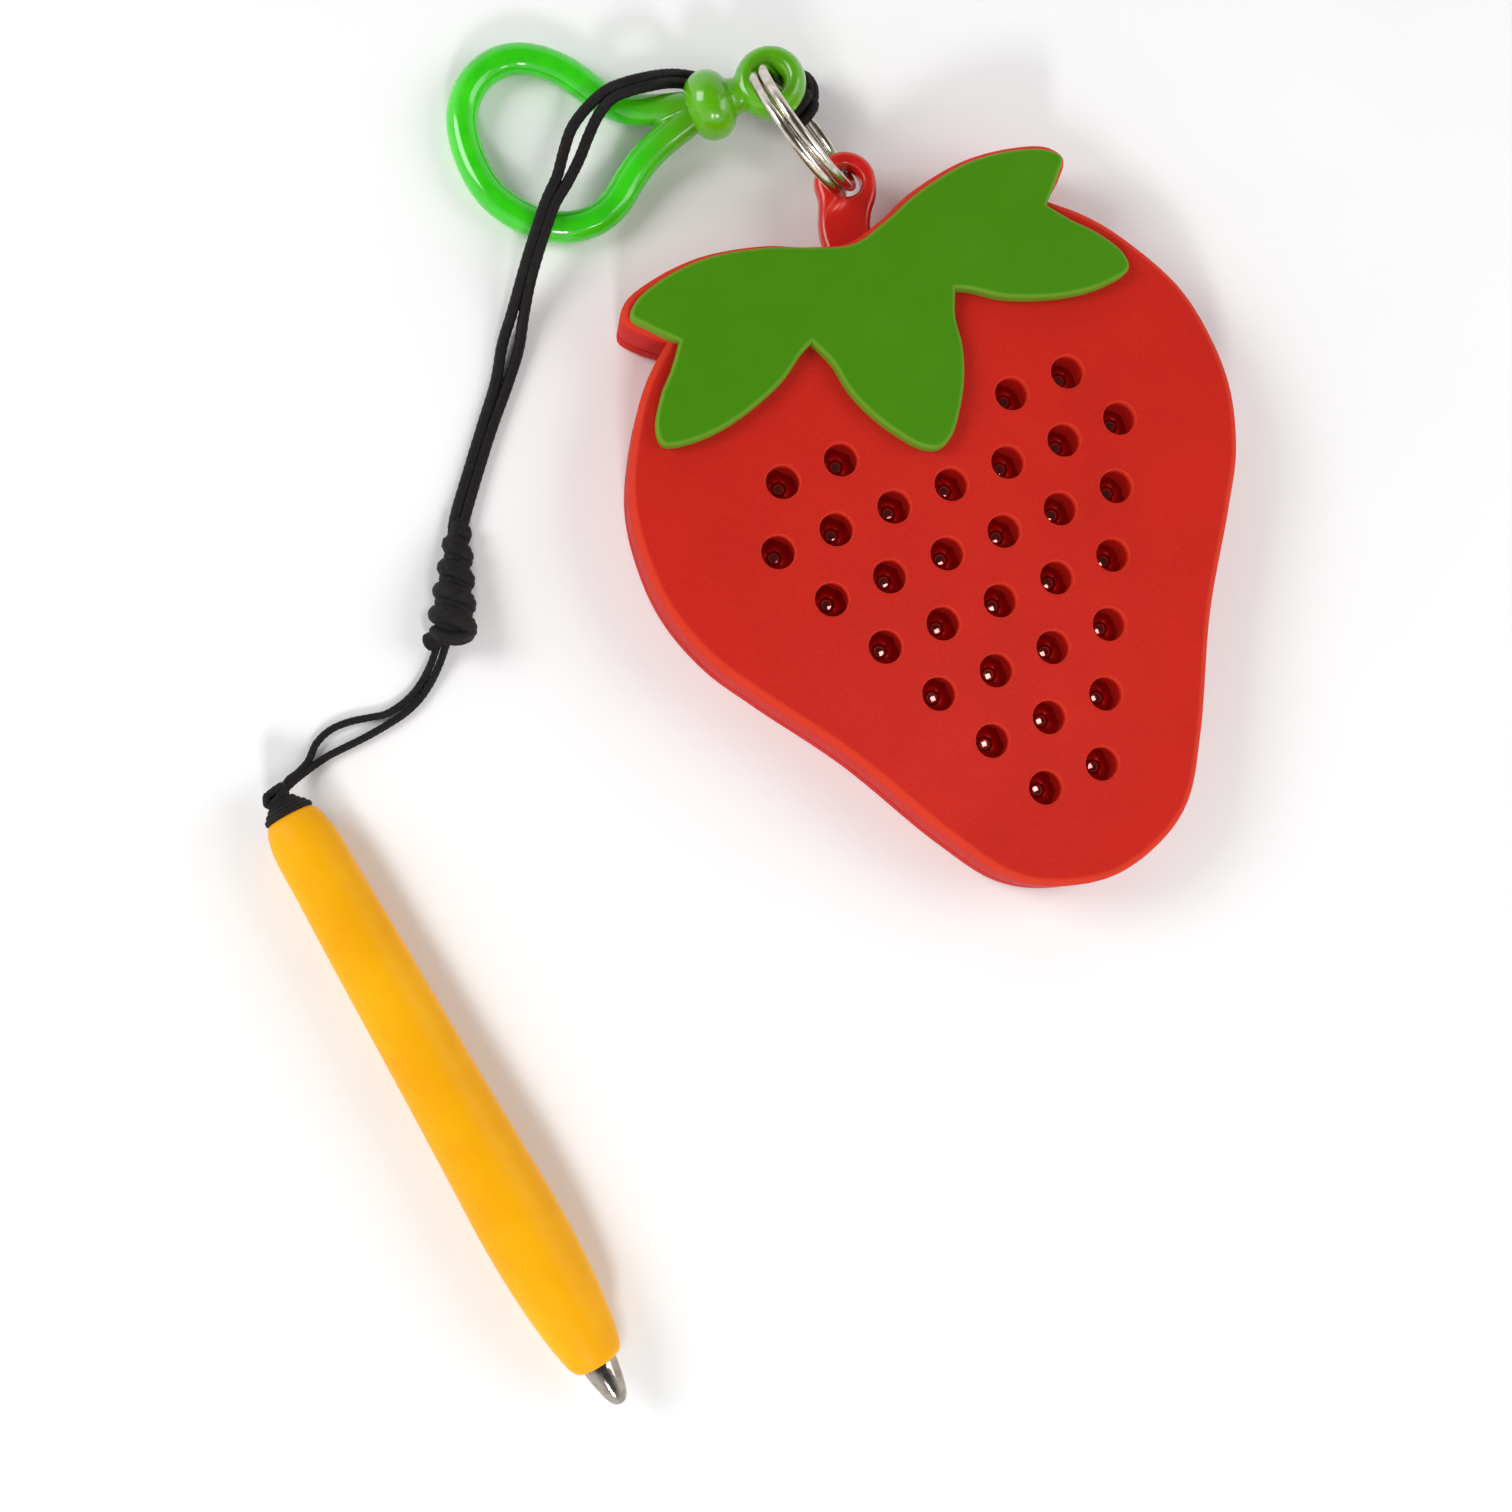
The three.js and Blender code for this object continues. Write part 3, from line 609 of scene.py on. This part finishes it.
def green_vinyl():
    """Soft glossy vinyl, see-through enough to glow, and browner where its roots meet the collar."""
    material, tree, shader = new_material(
        "green_vinyl", IOR=1.48, Subsurface_Weight=0.3, Subsurface_Scale=0.0016,
        Coat_Weight=0.5, Coat_Roughness=0.05, Transmission_Weight=0.1,
    )
    shader.inputs["Subsurface Radius"].default_value = (0.25, 1.0, 0.15)
    link = tree.links.new
    streaks = ramp(tree, grain(tree, 0.005, 3.0), [
        (0.3, (0.025, 0.54, 0.003)), (0.5, (0.035, 0.64, 0.004)), (0.75, (0.06, 0.76, 0.01)),
    ])
    root = add_node(tree, "ShaderNodeMapRange", {
        "Value": place_along(tree, "X"), "From Min": -0.0165, "From Max": -0.0105,
        "To Min": 0.0, "To Max": 0.85,
    }).outputs[0]
    colour = blend_colours(tree, root, streaks, (0.10, 0.34, 0.004))
    link(colour, shader.inputs["Base Color"])
    link(ramp(tree, grain(tree, 0.003, 2.0), [(0.3, 0.1), (0.7, 0.2)]), shader.inputs["Roughness"])
    soft = bump(tree, grain(tree, 0.003, 2.0), 0.00008, 0.4)
    link(bump(tree, grain(tree, 0.0005, 2.0), 0.000006, 0.6, soft), shader.inputs["Normal"])
    return material


def steel(name, colour, roughness, brushed, dirt_and_reflection):
    """Polished metal: fine turning lines, a little haze and grime; on the balls, both tones are a painted
    red reflection of the cells.
    """
    material, tree, shader = new_material(name, Metallic=1.0)
    link = tree.links.new
    tone = ramp(tree, grain(tree, 0.0012, 4.0), [(0.25, dirt_and_reflection), (0.55, colour), (0.8, colour)])
    link(tone, shader.inputs["Base Color"])
    rough = ramp(tree, grain(tree, 0.0007, 3.0), [(0.3, roughness * 0.6), (0.7, roughness * 1.5)])
    link(rough, shader.inputs["Roughness"])
    lines = grain(tree, 0.0003, 2.0, brushed)
    link(bump(tree, lines, 0.000008, 0.6), shader.inputs["Normal"])
    return material


def black_cord():
    """Black braided polyester: fine fibres along the carriers, a soft sheen and a little grey fluff."""
    material, tree, shader = new_material(
        "black_cord", Sheen_Weight=0.05, Sheen_Roughness=0.45, Specular_IOR_Level=0.22,
    )
    shader.inputs["Sheen Tint"].default_value = (0.45, 0.40, 0.40, 1)
    link = tree.links.new
    fibres = ramp(tree, grain(tree, 0.00012, 3.0, (1.0, 1.0, 3.0)), [
        (0.3, (0.002, 0.0015, 0.0015)), (0.6, (0.006, 0.0045, 0.0045)), (0.85, (0.026, 0.021, 0.021)),
    ])
    faded = ramp(tree, grain(tree, 0.004, 3.0), [(0.35, 0.0), (0.8, 0.35)])
    link(blend_colours(tree, faded, fibres, (0.012, 0.009, 0.009)), shader.inputs["Base Color"])
    link(ramp(tree, grain(tree, 0.0005, 2.0), [(0.3, 0.55), (0.7, 0.8)]), shader.inputs["Roughness"])
    link(bump(tree, grain(tree, 0.00009, 2.0), 0.00003, 0.8), shader.inputs["Normal"])
    return material


RED = moulded_red("red_face", 0.55, True)
STEM_RED = moulded_red("red_stem", 0.18, False)
# The cell plate's faint red emission is a painted glow, standing in for light coming through its thin red
# walls
CELL_RED = moulded_plain(
    "cell_red", (0.46, 0.010, 0.007), (0.54, 0.013, 0.009), (0.62, 0.017, 0.011), 0.35, glow=0.24,
)
# The leaf's paler top edge is a painted highlight
LEAF_GREEN = moulded_plain(
    "leaf_green", (0.0430, 0.206, 0.001), (0.0445, 0.211, 0.0012), (0.050, 0.222, 0.003), 0.5,
    tooth=0.000014, shine=0.08, rim=(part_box("leaf_cap")[1].z, (0.2, 0.34, 0.03)),
)
LIME = moulded_plain(
    "lime", (0.088, 0.37, 0.001), (0.10, 0.405, 0.001), (0.12, 0.44, 0.002), 0.22,
    coat=0.5, tooth=0.000004,
)
YELLOW = moulded_plain(
    "yellow", (0.79, 0.34, 0.0005), (0.82, 0.37, 0.0005), (0.86, 0.41, 0.002), 0.45,
    tooth=0.00002, shine=0.12,
)
VINYL = green_vinyl()
# The balls' red tint, darker in patches, is a painted reflection of the red cell walls
BALL_STEEL_RED_REFLECTION = steel("ball_steel", (0.44, 0.085, 0.075), 0.09, (1, 1, 1), (0.30, 0.045, 0.04))
RING_STEEL = steel("ring_steel", (0.66, 0.61, 0.54), 0.12, (1, 1, 8), (0.36, 0.30, 0.24))
TIP_STEEL = steel("tip_steel", (0.40, 0.36, 0.31), 0.09, (2, 1, 2), (0.24, 0.20, 0.16))
CORD = black_cord()


# ---------------------------------------------------------------- camera and cords

def make_camera():
    data = bpy.data.cameras.new("camera")
    data.lens = CAMERA_LENS
    data.sensor_width = SENSOR_WIDTH
    data.clip_start = 0.01
    aim = Vector(CAMERA_AIM).normalized()
    side = aim.cross(Vector(CAMERA_UP)).normalized()
    up = side.cross(aim)
    camera = bpy.data.objects.new("camera", data)
    scene.collection.objects.link(camera)
    camera.matrix_world = Matrix.Translation(CAMERA_PLACE) @ Matrix((side, up, -aim)).transposed().to_4x4()
    scene.camera = camera


def strand_route(route, side):
    """One strand of a doubled cord, to the left (1) or right (-1) of the way that the route runs."""
    middle = [Vector(row[:3]) for row in route]
    last = len(route) - 1
    strand = []
    for i, row in enumerate(route):
        t = i / last
        ahead = spline_point(middle, min(t + 1e-4, 1.0)) - spline_point(middle, max(t - 1e-4, 0.0))
        across = Vector((-ahead.y, ahead.x, 0)).normalized()
        strand.append(middle[i] + across * row[3] * side)
    return strand


def ring_directions():
    level = Vector((math.cos(RING_HEADING), math.sin(RING_HEADING), 0))
    rise = Vector((
        math.sin(RING_HEADING) * math.sin(RING_LEAN),
        -math.cos(RING_HEADING) * math.sin(RING_LEAN),
        math.cos(RING_LEAN),
    ))
    return level, rise, level.cross(rise)


def ring_point(angle, sideways=0.0):
    level, rise, axis = ring_directions()
    round_it = level * math.cos(angle) + rise * math.sin(angle)
    return Vector(RING_CENTRE) + round_it * RING_R + axis * sideways


def knot_axis():
    start, end = Vector(KNOT_FROM), Vector(KNOT_TO)
    along = (end - start).normalized()
    side = along.cross(Vector((0, 0, 1))).normalized()
    return start, along, side, side.cross(along)


def wrap_route(start, along, side, up, radius_at, first, last, turns, phase):
    """A helix round an axis, between two distances along it."""
    count = max(8, round(turns * 14))
    route = []
    for i in range(count + 1):
        share = i / count
        s = first + (last - first) * share
        a = phase + 2 * math.pi * turns * share
        route.append(start + along * s + (side * math.cos(a) + up * math.sin(a)) * radius_at(s))
    return route


def make_big_knot():
    """The doubled strap wound over itself in wraps that grow towards the lower end, and its cut tail."""
    start, along, side, up = knot_axis()
    length = 0.0115

    def winding(distance):
        share = min(max(distance / length, 0.0), 1.0)
        return 0.00022 + 0.0014 * share ** 0.85

    bm = bmesh.new()
    core = [
        (0.0001, -0.0006), (0.0007, -0.0002), (0.0009, 0.0012), (0.0012, 0.004), (0.0016, 0.008),
        (0.0018, 0.0102), (0.0015, 0.0114), (0.0008, 0.0120), (0.0001, 0.0122),
    ]
    add_lathe(bm, core, start, along, 24)
    wraps = wrap_route(start, along, side, up, winding, 0.0007, 0.0110, 4.2, 2.6)
    add_strap_cord(bm, wraps, radius=KNOT_WRAP_R)
    add_strap_cord(bm, [p + along * KNOT_WRAP_SHIFT for p in wraps[:-10]], radius=KNOT_THIN_WRAP_R)
    end = start + along * 0.0112
    for shift in (-0.0007, 0.0005):
        add_strap_cord(bm, [
            end + side * 0.0017 + up * (shift - 0.0004),
            end + side * 0.0008 + up * (shift + 0.0005) + along * 0.0007,
            end - side * 0.0008 + up * (shift + 0.0005) + along * 0.0007,
            end - side * 0.0017 + up * (shift - 0.0004),
        ])
    add_strap_cord(bm, KNOT_TAIL, radius=KNOT_TAIL_R)
    mesh = to_mesh(bm, "big_knot")
    return add_piece("big_knot", mesh, CORD, "clip", ["strap_knot"])


def make_strap():
    """The strap's two strands, from the hitch under the clip eye to the big knot."""
    for side, label in ((1, "left"), (-1, "right")):
        route = strand_route(STRAP_ROUTE, side)
        bm = bmesh.new()
        line = add_strap_cord(bm, route)
        mesh = to_mesh(bm, f"strap_{label}")
        piece = add_piece(f"strap_{label}", mesh, CORD, "clip", [f"strap_strand_{label}"])


def stylus_directions():
    along = (Vector(STYLUS_TIP) - Vector(STYLUS_TOP)).normalized()
    across = Vector((-along.y, along.x, 0)).normalized()
    return along, across, along.cross(across)


def on_stylus(distance, across=0.0, up=0.0):
    along, sideways, upward = stylus_directions()
    return Vector(STYLUS_TOP) + along * distance + sideways * across + upward * up


def make_string():
    """The thin string, one length laid double: out to the stylus, through its cross hole, and back."""
    out = strand_route(STRING_ROUTE, 1)
    back = strand_route(STRING_ROUTE, -1)
    knot = Vector(HITCH_KNOT)
    # From the knot under the dome into the cross hole: the distance along the stylus, across and up
    hug = [
        (0.0, 0.0009, -0.0009), (0.0006, 0.0014, -0.0016), (0.0014, 0.0020, -0.0021),
        (0.0021, 0.0024, -0.0019), (0.0025, 0.0025, -0.0011), (0.0026, 0.0020, -0.0003),
        (0.0026, 0.0010, 0.0),
    ]
    into = [on_stylus(distance, -across, up) for distance, across, up in hug]
    out_of = [on_stylus(distance, across, up) for distance, across, up in reversed(hug)]
    entry = [knot + Vector((0.0004, 0.0002, -0.0004))]
    leaving = [knot + Vector((0.0008, 0.0001, -0.0006))]
    bm = bmesh.new()
    line = add_string_cord(bm, out + entry + into + out_of + leaving + back[::-1])
    mesh = to_mesh(bm, "string")
    piece = bpy.data.objects.new("string", mesh)
    scene.collection.objects.link(piece)
    mesh.materials.append(CORD)
    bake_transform(piece)
    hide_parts("string_strand_left", "string_strand_right", "stylus_hitch")
    make_stylus_knot()


def make_stylus_knot():
    """The knot that closes the string's loop, and the turns of string that cap the stylus's dome."""
    knot = Vector(HITCH_KNOT)
    along, across, up = stylus_directions()
    bm = bmesh.new()

    def even(_distance):
        return 0.00092

    core = [(0.0001, -0.001), (0.0007, -0.0007), (0.00095, 0), (0.0007, 0.0007), (0.0001, 0.001)]
    add_lathe(bm, core, knot, along, 16)
    for phase, tilt, turns in ((0.0, 0.0, 2.1), (1.6, 0.7, 1.6)):
        turn = Quaternion(up, tilt)
        axis = turn @ along
        side = turn @ across
        start = knot - axis * 0.0009
        add_string_cord(bm, wrap_route(start, axis, side, up, even, 0.0, 0.0018, turns, phase))
    arc = [math.radians(15 * k) for k in range(-2, 15)]
    for distance, reach in ((0.0006, 0.0021), (0.0002, 0.0018), (-0.0002, 0.0014), (-0.0006, 0.0011)):
        add_string_cord(bm, [on_stylus(distance, reach * math.cos(a), reach * math.sin(a)) for a in arc])
    mesh = to_mesh(bm, "stylus_knot")
    return add_piece("stylus_knot", mesh, CORD, "tether", ())


def make_hitch():
    """The strap's bight: wraps round both wires of the ring, cords that hug the clip's eye from below,
    and one that goes up through the eye.
    """
    angle = -math.acos(HITCH_AT)
    place = ring_point(angle)
    _, _, axis = ring_directions()
    outward = (place - Vector(RING_CENTRE)).normalized()
    along = axis.cross(outward)
    bm = bmesh.new()
    turns, count, phase = 1.7, 34, 0.6
    half_width, half_depth, spread = 0.00185, 0.00125, 0.0021
    wraps = []
    for i in range(count + 1):
        share = i / count
        a = 2 * math.pi * turns * share + phase
        offset = axis * (half_width * math.cos(a)) + outward * (half_depth * math.sin(a))
        wraps.append(place + offset + along * (spread * (share - 0.5)))
    add_strap_cord(bm, wraps)
    hug = [
        (0.0004, 0.0567, 0.00066), (0.0016, 0.0553, 0.0009), (0.0030, 0.0550, 0.0014),
        (0.0041, 0.0559, 0.0019), (0.0046, 0.0572, 0.0021), (0.0043, 0.0587, 0.0018),
        (0.0031, 0.0595, 0.0012), (0.0014, 0.0592, 0.0008), (-0.0002, 0.0583, 0.00066),
    ]
    add_strap_cord(bm, hug)
    inner = [(x - 0.0006, y + 0.0002, z + 0.0007) for x, y, z in hug[1:-1]]
    add_strap_cord(bm, inner)
    in_eye = [
        (-0.0011, 0.0588, 0.0016), (-0.0011, 0.0586, 0.0036), (-0.0009, 0.0585, 0.0060),
        (-0.0001, 0.0587, 0.0060), (0.0002, 0.0587, 0.0040), (0.0002, 0.0588, 0.0018),
    ]
    add_strap_cord(bm, in_eye, radius=0.0005)
    mesh = to_mesh(bm, "hitch")
    add_piece("hitch", mesh, CORD, "ring", ["strap_hitch"])


make_camera()
big_knot = make_big_knot()
make_strap()
make_string()
make_hitch()


# ---------------------------------------------------------------- the strawberry

def window_rings(bm, x, y, face):
    """A window from the face down through it, with a rounded lip; returns its top and bottom rings."""
    profile = [
        (WINDOW_R + WINDOW_FLAT, face), (WINDOW_R + WINDOW_LIP, face),
        (WINDOW_R + 0.45 * WINDOW_LIP, face - 0.2 * WINDOW_LIP),
        (WINDOW_R + 0.1 * WINDOW_LIP, face - 0.6 * WINDOW_LIP), (WINDOW_R, face - 1.3 * WINDOW_LIP),
        (WINDOW_R, face - FACE_THICK),
    ]
    rings = skin(bm, [circle(x, y, radius, 40, z) for radius, z in profile])
    return rings[0], rings[-1]


def make_front_shell(balls):
    low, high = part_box("front_shell")
    face, rim = high.z, low.z - SEAM_FRONT
    outline = berry_outline()
    bm = bmesh.new()
    profile = [(0.00012, rim), (0.00002, rim + 0.0001), (0, rim + 0.0003), (0, face - EDGE_ROUND - 0.0004)]
    profile += quarter(EDGE_ROUND, face, steps=8) + [(EDGE_ROUND + EDGE_FLAT, face)]
    outside = wall(bm, outline, profile)
    inside = wall(bm, outline, [(WALL, rim), (WALL, face - FACE_THICK)])
    count = len(outline)
    for i in range(count):
        j = (i + 1) % count
        bm.faces.new((outside[0][i], outside[0][j], inside[0][j], inside[0][i]))
    windows = [window_rings(bm, x, y, face) for x, y in balls]
    fill(bm, outside[-1], *(top for top, _ in windows))
    fill(bm, inside[-1], *(bottom for _, bottom in windows))
    mesh = to_mesh(bm, "face_shell", 60)
    add_piece("face_shell", mesh, RED, "strawberry", ["front_shell"])


def make_back_shell():
    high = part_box("front_shell")[0].z - SEAM_BACK
    outline = berry_outline()
    bm = bmesh.new()
    profile = [(EDGE_ROUND + EDGE_FLAT, 0)] + quarter(EDGE_ROUND, 0, turn_up=False, steps=8)
    profile += [(0, high - 0.0003), (0.00002, high - 0.0001), (0.00012, high)]
    rings = wall(bm, outline, profile)
    fill(bm, rings[0])
    fill(bm, rings[-1])
    mesh = to_mesh(bm, "back_shell", 60)
    add_piece("back_shell", mesh, RED, "strawberry", ["back_cover"])


def make_leaf():
    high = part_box("leaf_cap")[1]
    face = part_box("front_shell")[1].z
    edge = 0.0005
    bm = bmesh.new()
    profile = [(0.00005, face - 0.0002), (0, face + 0.0003)] + quarter(edge, high.z, steps=7)
    profile += [(edge + EDGE_FLAT, high.z)]
    rings = wall(bm, leaf_outline(), profile)
    fill(bm, rings[0])
    fill(bm, rings[-1])
    mesh = to_mesh(bm, "leaf", 60)
    add_piece("leaf", mesh, LEAF_GREEN, "strawberry", ["leaf_cap"])


def make_stem():
    low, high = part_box("hanging_stem")
    edge, lip = 0.0007, 0.00045
    outer = stem_outline()
    bm = bmesh.new()
    outside = wall(bm, outer, quarter(edge, low.z, turn_up=False) + quarter(edge, high.z))
    profile = []
    for radius, z in quarter(lip, low.z, turn_up=False) + quarter(lip, high.z):
        profile.append((STEM_HOLE_R + radius, z))
    inside = skin(bm, [circle(*STEM_EYE, radius, 48, z) for radius, z in profile])
    fill(bm, outside[0], inside[0])
    fill(bm, outside[-1], inside[-1])
    mesh = to_mesh(bm, "stem", 50)
    add_piece("stem", mesh, STEM_RED, "strawberry", ["hanging_stem"])


def make_balls():
    """A polished ball in each cell, at the place of its CAD node; returns their places on the face."""
    places = []
    for name in sorted(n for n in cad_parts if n.startswith("ball_")):
        low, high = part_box(name)
        middle, radius = (low + high) / 2, (high.z - low.z) / 2
        bm = bmesh.new()
        bmesh.ops.create_icosphere(bm, subdivisions=4, radius=radius, matrix=Matrix.Translation(middle))
        mesh = to_mesh(bm, f"steel_{name}")
        add_piece(f"steel_{name}", mesh, BALL_STEEL_RED_REFLECTION, name, [name])
        places.append((middle.x, middle.y))
    return places


make_front_shell(make_balls())
make_back_shell()
make_leaf()
make_stem()
plate_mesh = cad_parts["cell_plate"].data
plate_mesh.materials.clear()
plate_mesh.materials.append(CELL_RED)


# ---------------------------------------------------------------- ring, connector and loop

def make_ring():
    """Two turns of one wire side by side, with the step that joins them, and cut ends."""
    line = []
    count = 420
    for i in range(count + 1):
        angle = i / count * (4 * math.pi - RING_STEP - RING_END_GAP)
        rise = min(max((angle - 2 * math.pi + RING_STEP) / RING_STEP, 0.0), 1.0)
        rise = rise * rise * (3 - 2 * rise)
        line.append(ring_point(RING_START + angle, (rise - 0.5) * RING_TURN_PITCH))
    bm = bmesh.new()
    add_tube(bm, line, RING_WIRE_R, 20, dome=0.25)
    mesh = to_mesh(bm, "ring_wire")
    add_piece("ring_wire", mesh, RING_STEEL, "ring", ["split_ring"])


def clip_place():
    turned = Matrix.Translation(CLIP_EYE) @ Matrix.Rotation(CLIP_TURN, 4, "Z")
    return turned @ Matrix.Rotation(CLIP_SLOPE, 4, "Y")


def make_connector():
    """The thick eye, waisted neck and round collar, moulded in one."""
    bm = bmesh.new()
    half = (CLIP_EYE_R - CLIP_HOLE_R) / 2
    sections = []
    for i in range(56):
        a = 2 * math.pi * i / 56
        outward = Vector((math.cos(a), math.sin(a), 0))
        sections.append([
            outward * (CLIP_HOLE_R + half + half * math.cos(b)) + Vector((0, 0, CLIP_EYE_HALF * math.sin(b)))
            for b in (2 * math.pi * k / 28 for k in range(28))
        ])
    skin(bm, sections, closed=True)
    neck = smooth_profile([
        (0.0009, 0.0019), (0.0017, 0.0026), (0.00178, 0.0034), (0.0020, 0.0042), (0.00275, 0.0047),
        (0.00335, 0.0055), (0.00355, 0.0063), (0.00345, 0.0071), (0.0030, 0.0080), (0.0022, 0.0086),
        (0.0019, 0.00875),
    ], 0.0002)
    add_lathe(bm, neck, (0, 0, 0), (-1, 0, 0), 40)
    shape = remeshed(to_mesh(bm, "connector_parts"), "connector", 0.00013, 10)
    shape.transform(clip_place())
    add_piece("connector", shape, LIME, "clip", ["clip_connector"])


def make_loop():
    """The soft loop: both ends run together into one root inside the collar."""
    bm = bmesh.new()
    route = [LOOP_ROOTS[0]] + LOOP_ROUTE + [LOOP_ROOTS[1]]
    add_tube(bm, spaced(route, 0.0003), LOOP_R, 32)
    shape = remeshed(to_mesh(bm, "loop_parts"), "vinyl_loop", 0.00016, 10)
    add_piece("vinyl_loop", shape, VINYL, "clip", ["clip_loop"])


make_ring()
make_connector()
make_loop()


# ---------------------------------------------------------------- the stylus

def make_stylus():
    """The domed barrel with its cross hole, and the steel tip."""
    along, across, _ = stylus_directions()
    profile = smooth_profile([
        (0.00001, 0), (0.0013, 0.0002), (0.0023, 0.0009), (0.0029, 0.0020), (0.0032, 0.0036),
        (0.0033, 0.008), (0.0035, 0.0175), (0.0037, 0.03), (0.0039, 0.039), (0.00405, 0.045),
        (0.00397, 0.05), (0.0037, 0.054), (0.0032, 0.058), (0.0027, 0.0602), (0.00235, 0.0608),
        (0.0020, 0.061), (0.00172, 0.0609), (0.0016, 0.0605),
    ], 0.00035)
    bm = bmesh.new()
    add_lathe(bm, profile, STYLUS_TOP, along, 72)
    stands_for = ["stylus_barrel", "stylus_magnet"]
    piece = add_piece("barrel", to_mesh(bm, "barrel"), YELLOW, "stylus", stands_for)
    bm = bmesh.new()
    flare = [
        (0.0013, -0.0045), (0.00082, -0.0029), (STYLUS_HOLE_R, -0.0024),
        (STYLUS_HOLE_R, 0.0024), (0.00082, 0.0029), (0.0013, 0.0045),
    ]
    add_lathe(bm, flare, on_stylus(STYLUS_HOLE_AT), across, 32)
    cutter = bpy.data.objects.new("cutter", to_mesh(bm, "cutter"))
    scene.collection.objects.link(cutter)
    cut = piece.modifiers.new("cross_hole", "BOOLEAN")
    cut.operation = "DIFFERENCE"
    cut.object = cutter
    graph = bpy.context.evaluated_depsgraph_get()
    done = bpy.data.meshes.new_from_object(piece.evaluated_get(graph))
    piece.modifiers.clear()
    piece.data = done
    done.set_sharp_from_angle(angle=math.radians(35))
    bpy.data.objects.remove(cutter)
    tip = smooth_profile([
        (0.0015, 0.0598), (0.0016, 0.0606), (0.00172, 0.0612), (0.00158, 0.0622), (0.00135, 0.0633),
        (0.00108, 0.0643), (0.0008, 0.0649), (0.00045, 0.06525), (0.00001, 0.06535),
    ], 0.00012)
    bm = bmesh.new()
    add_lathe(bm, tip, STYLUS_TOP, along, 56)
    add_piece("steel_tip", to_mesh(bm, "steel_tip", 45), TIP_STEEL, "stylus", ["stylus_tip"])


make_stylus()


# ---------------------------------------------------------------- floor and light

FLOOR_RADII = (0.02, 0.2, 0.5)
FLOOR_DROP = 0.00002
SKY_STOPS = [(0.0, 0.95), (0.35, 0.9), (0.62, 0.5), (0.8, 0.13), (0.95, 0.08)]
SKY_STRENGTH = 1.15

# The name, place, aim, side and power in watts of each square lamp
LAMPS = [
    ("key", (-0.32, 0.24, 0.30), (0, 0.01, 0), 0.22, 1.05),
    ("fill", (0.34, -0.10, 0.30), (0, 0.01, 0), 0.30, 0.75),
    ("low", (-0.16, -0.30, 0.24), (0, 0, 0), 0.07, 0.62),
]
SPARK_LAMP = ("spark", (-0.0051, -0.0109, 0.0443), (-0.0051, -0.0109, 0), 0.018, 0.0132)


def make_floor():
    bm = bmesh.new()
    rings = [circle(0, 0, radius, 64) for radius in FLOOR_RADII]
    made = skin(bm, rings)
    bm.faces.new(made[0])
    floor = bpy.data.objects.new("floor", to_mesh(bm, "floor"))
    scene.collection.objects.link(floor)
    floor.location.z = -FLOOR_DROP
    material, tree, shader = new_material("pale_floor", Roughness=0.85)
    tone = ramp(tree, grain(tree, 0.05, 3.0), [(0.3, (0.90, 0.90, 0.90)), (0.7, (0.93, 0.93, 0.93))])
    tree.links.new(tone, shader.inputs["Base Color"])
    floor.data.materials.append(material)


def add_light(name, place, aim, side, power):
    data = bpy.data.lights.new(name, "AREA")
    data.shape = "RECTANGLE"
    data.size = side
    data.size_y = side
    data.energy = power
    light = bpy.data.objects.new(name, data)
    scene.collection.objects.link(light)
    direction = Vector(aim) - Vector(place)
    light.matrix_world = Matrix.Translation(place) @ direction.to_track_quat("-Z", "Y").to_matrix().to_4x4()
    return light


def make_light():
    world = bpy.data.worlds.new("studio")
    scene.world = world
    world.use_nodes = True
    tree = world.node_tree
    back = tree.nodes["Background"]
    direction = add_node(tree, "ShaderNodeTexCoord").outputs["Generated"]
    height = add_node(tree, "ShaderNodeSeparateXYZ", {0: direction}).outputs["Z"]
    tree.links.new(ramp(tree, height, SKY_STOPS), back.inputs["Color"])
    back.inputs["Strength"].default_value = SKY_STRENGTH
    for lamp in LAMPS:
        add_light(*lamp)
    # It shows only in reflections, where it puts a point of light on the balls
    spark = add_light(*SPARK_LAMP)
    spark.visible_camera = False
    spark.visible_diffuse = False


make_floor()
make_light()
scene.view_settings.view_transform = "Standard"
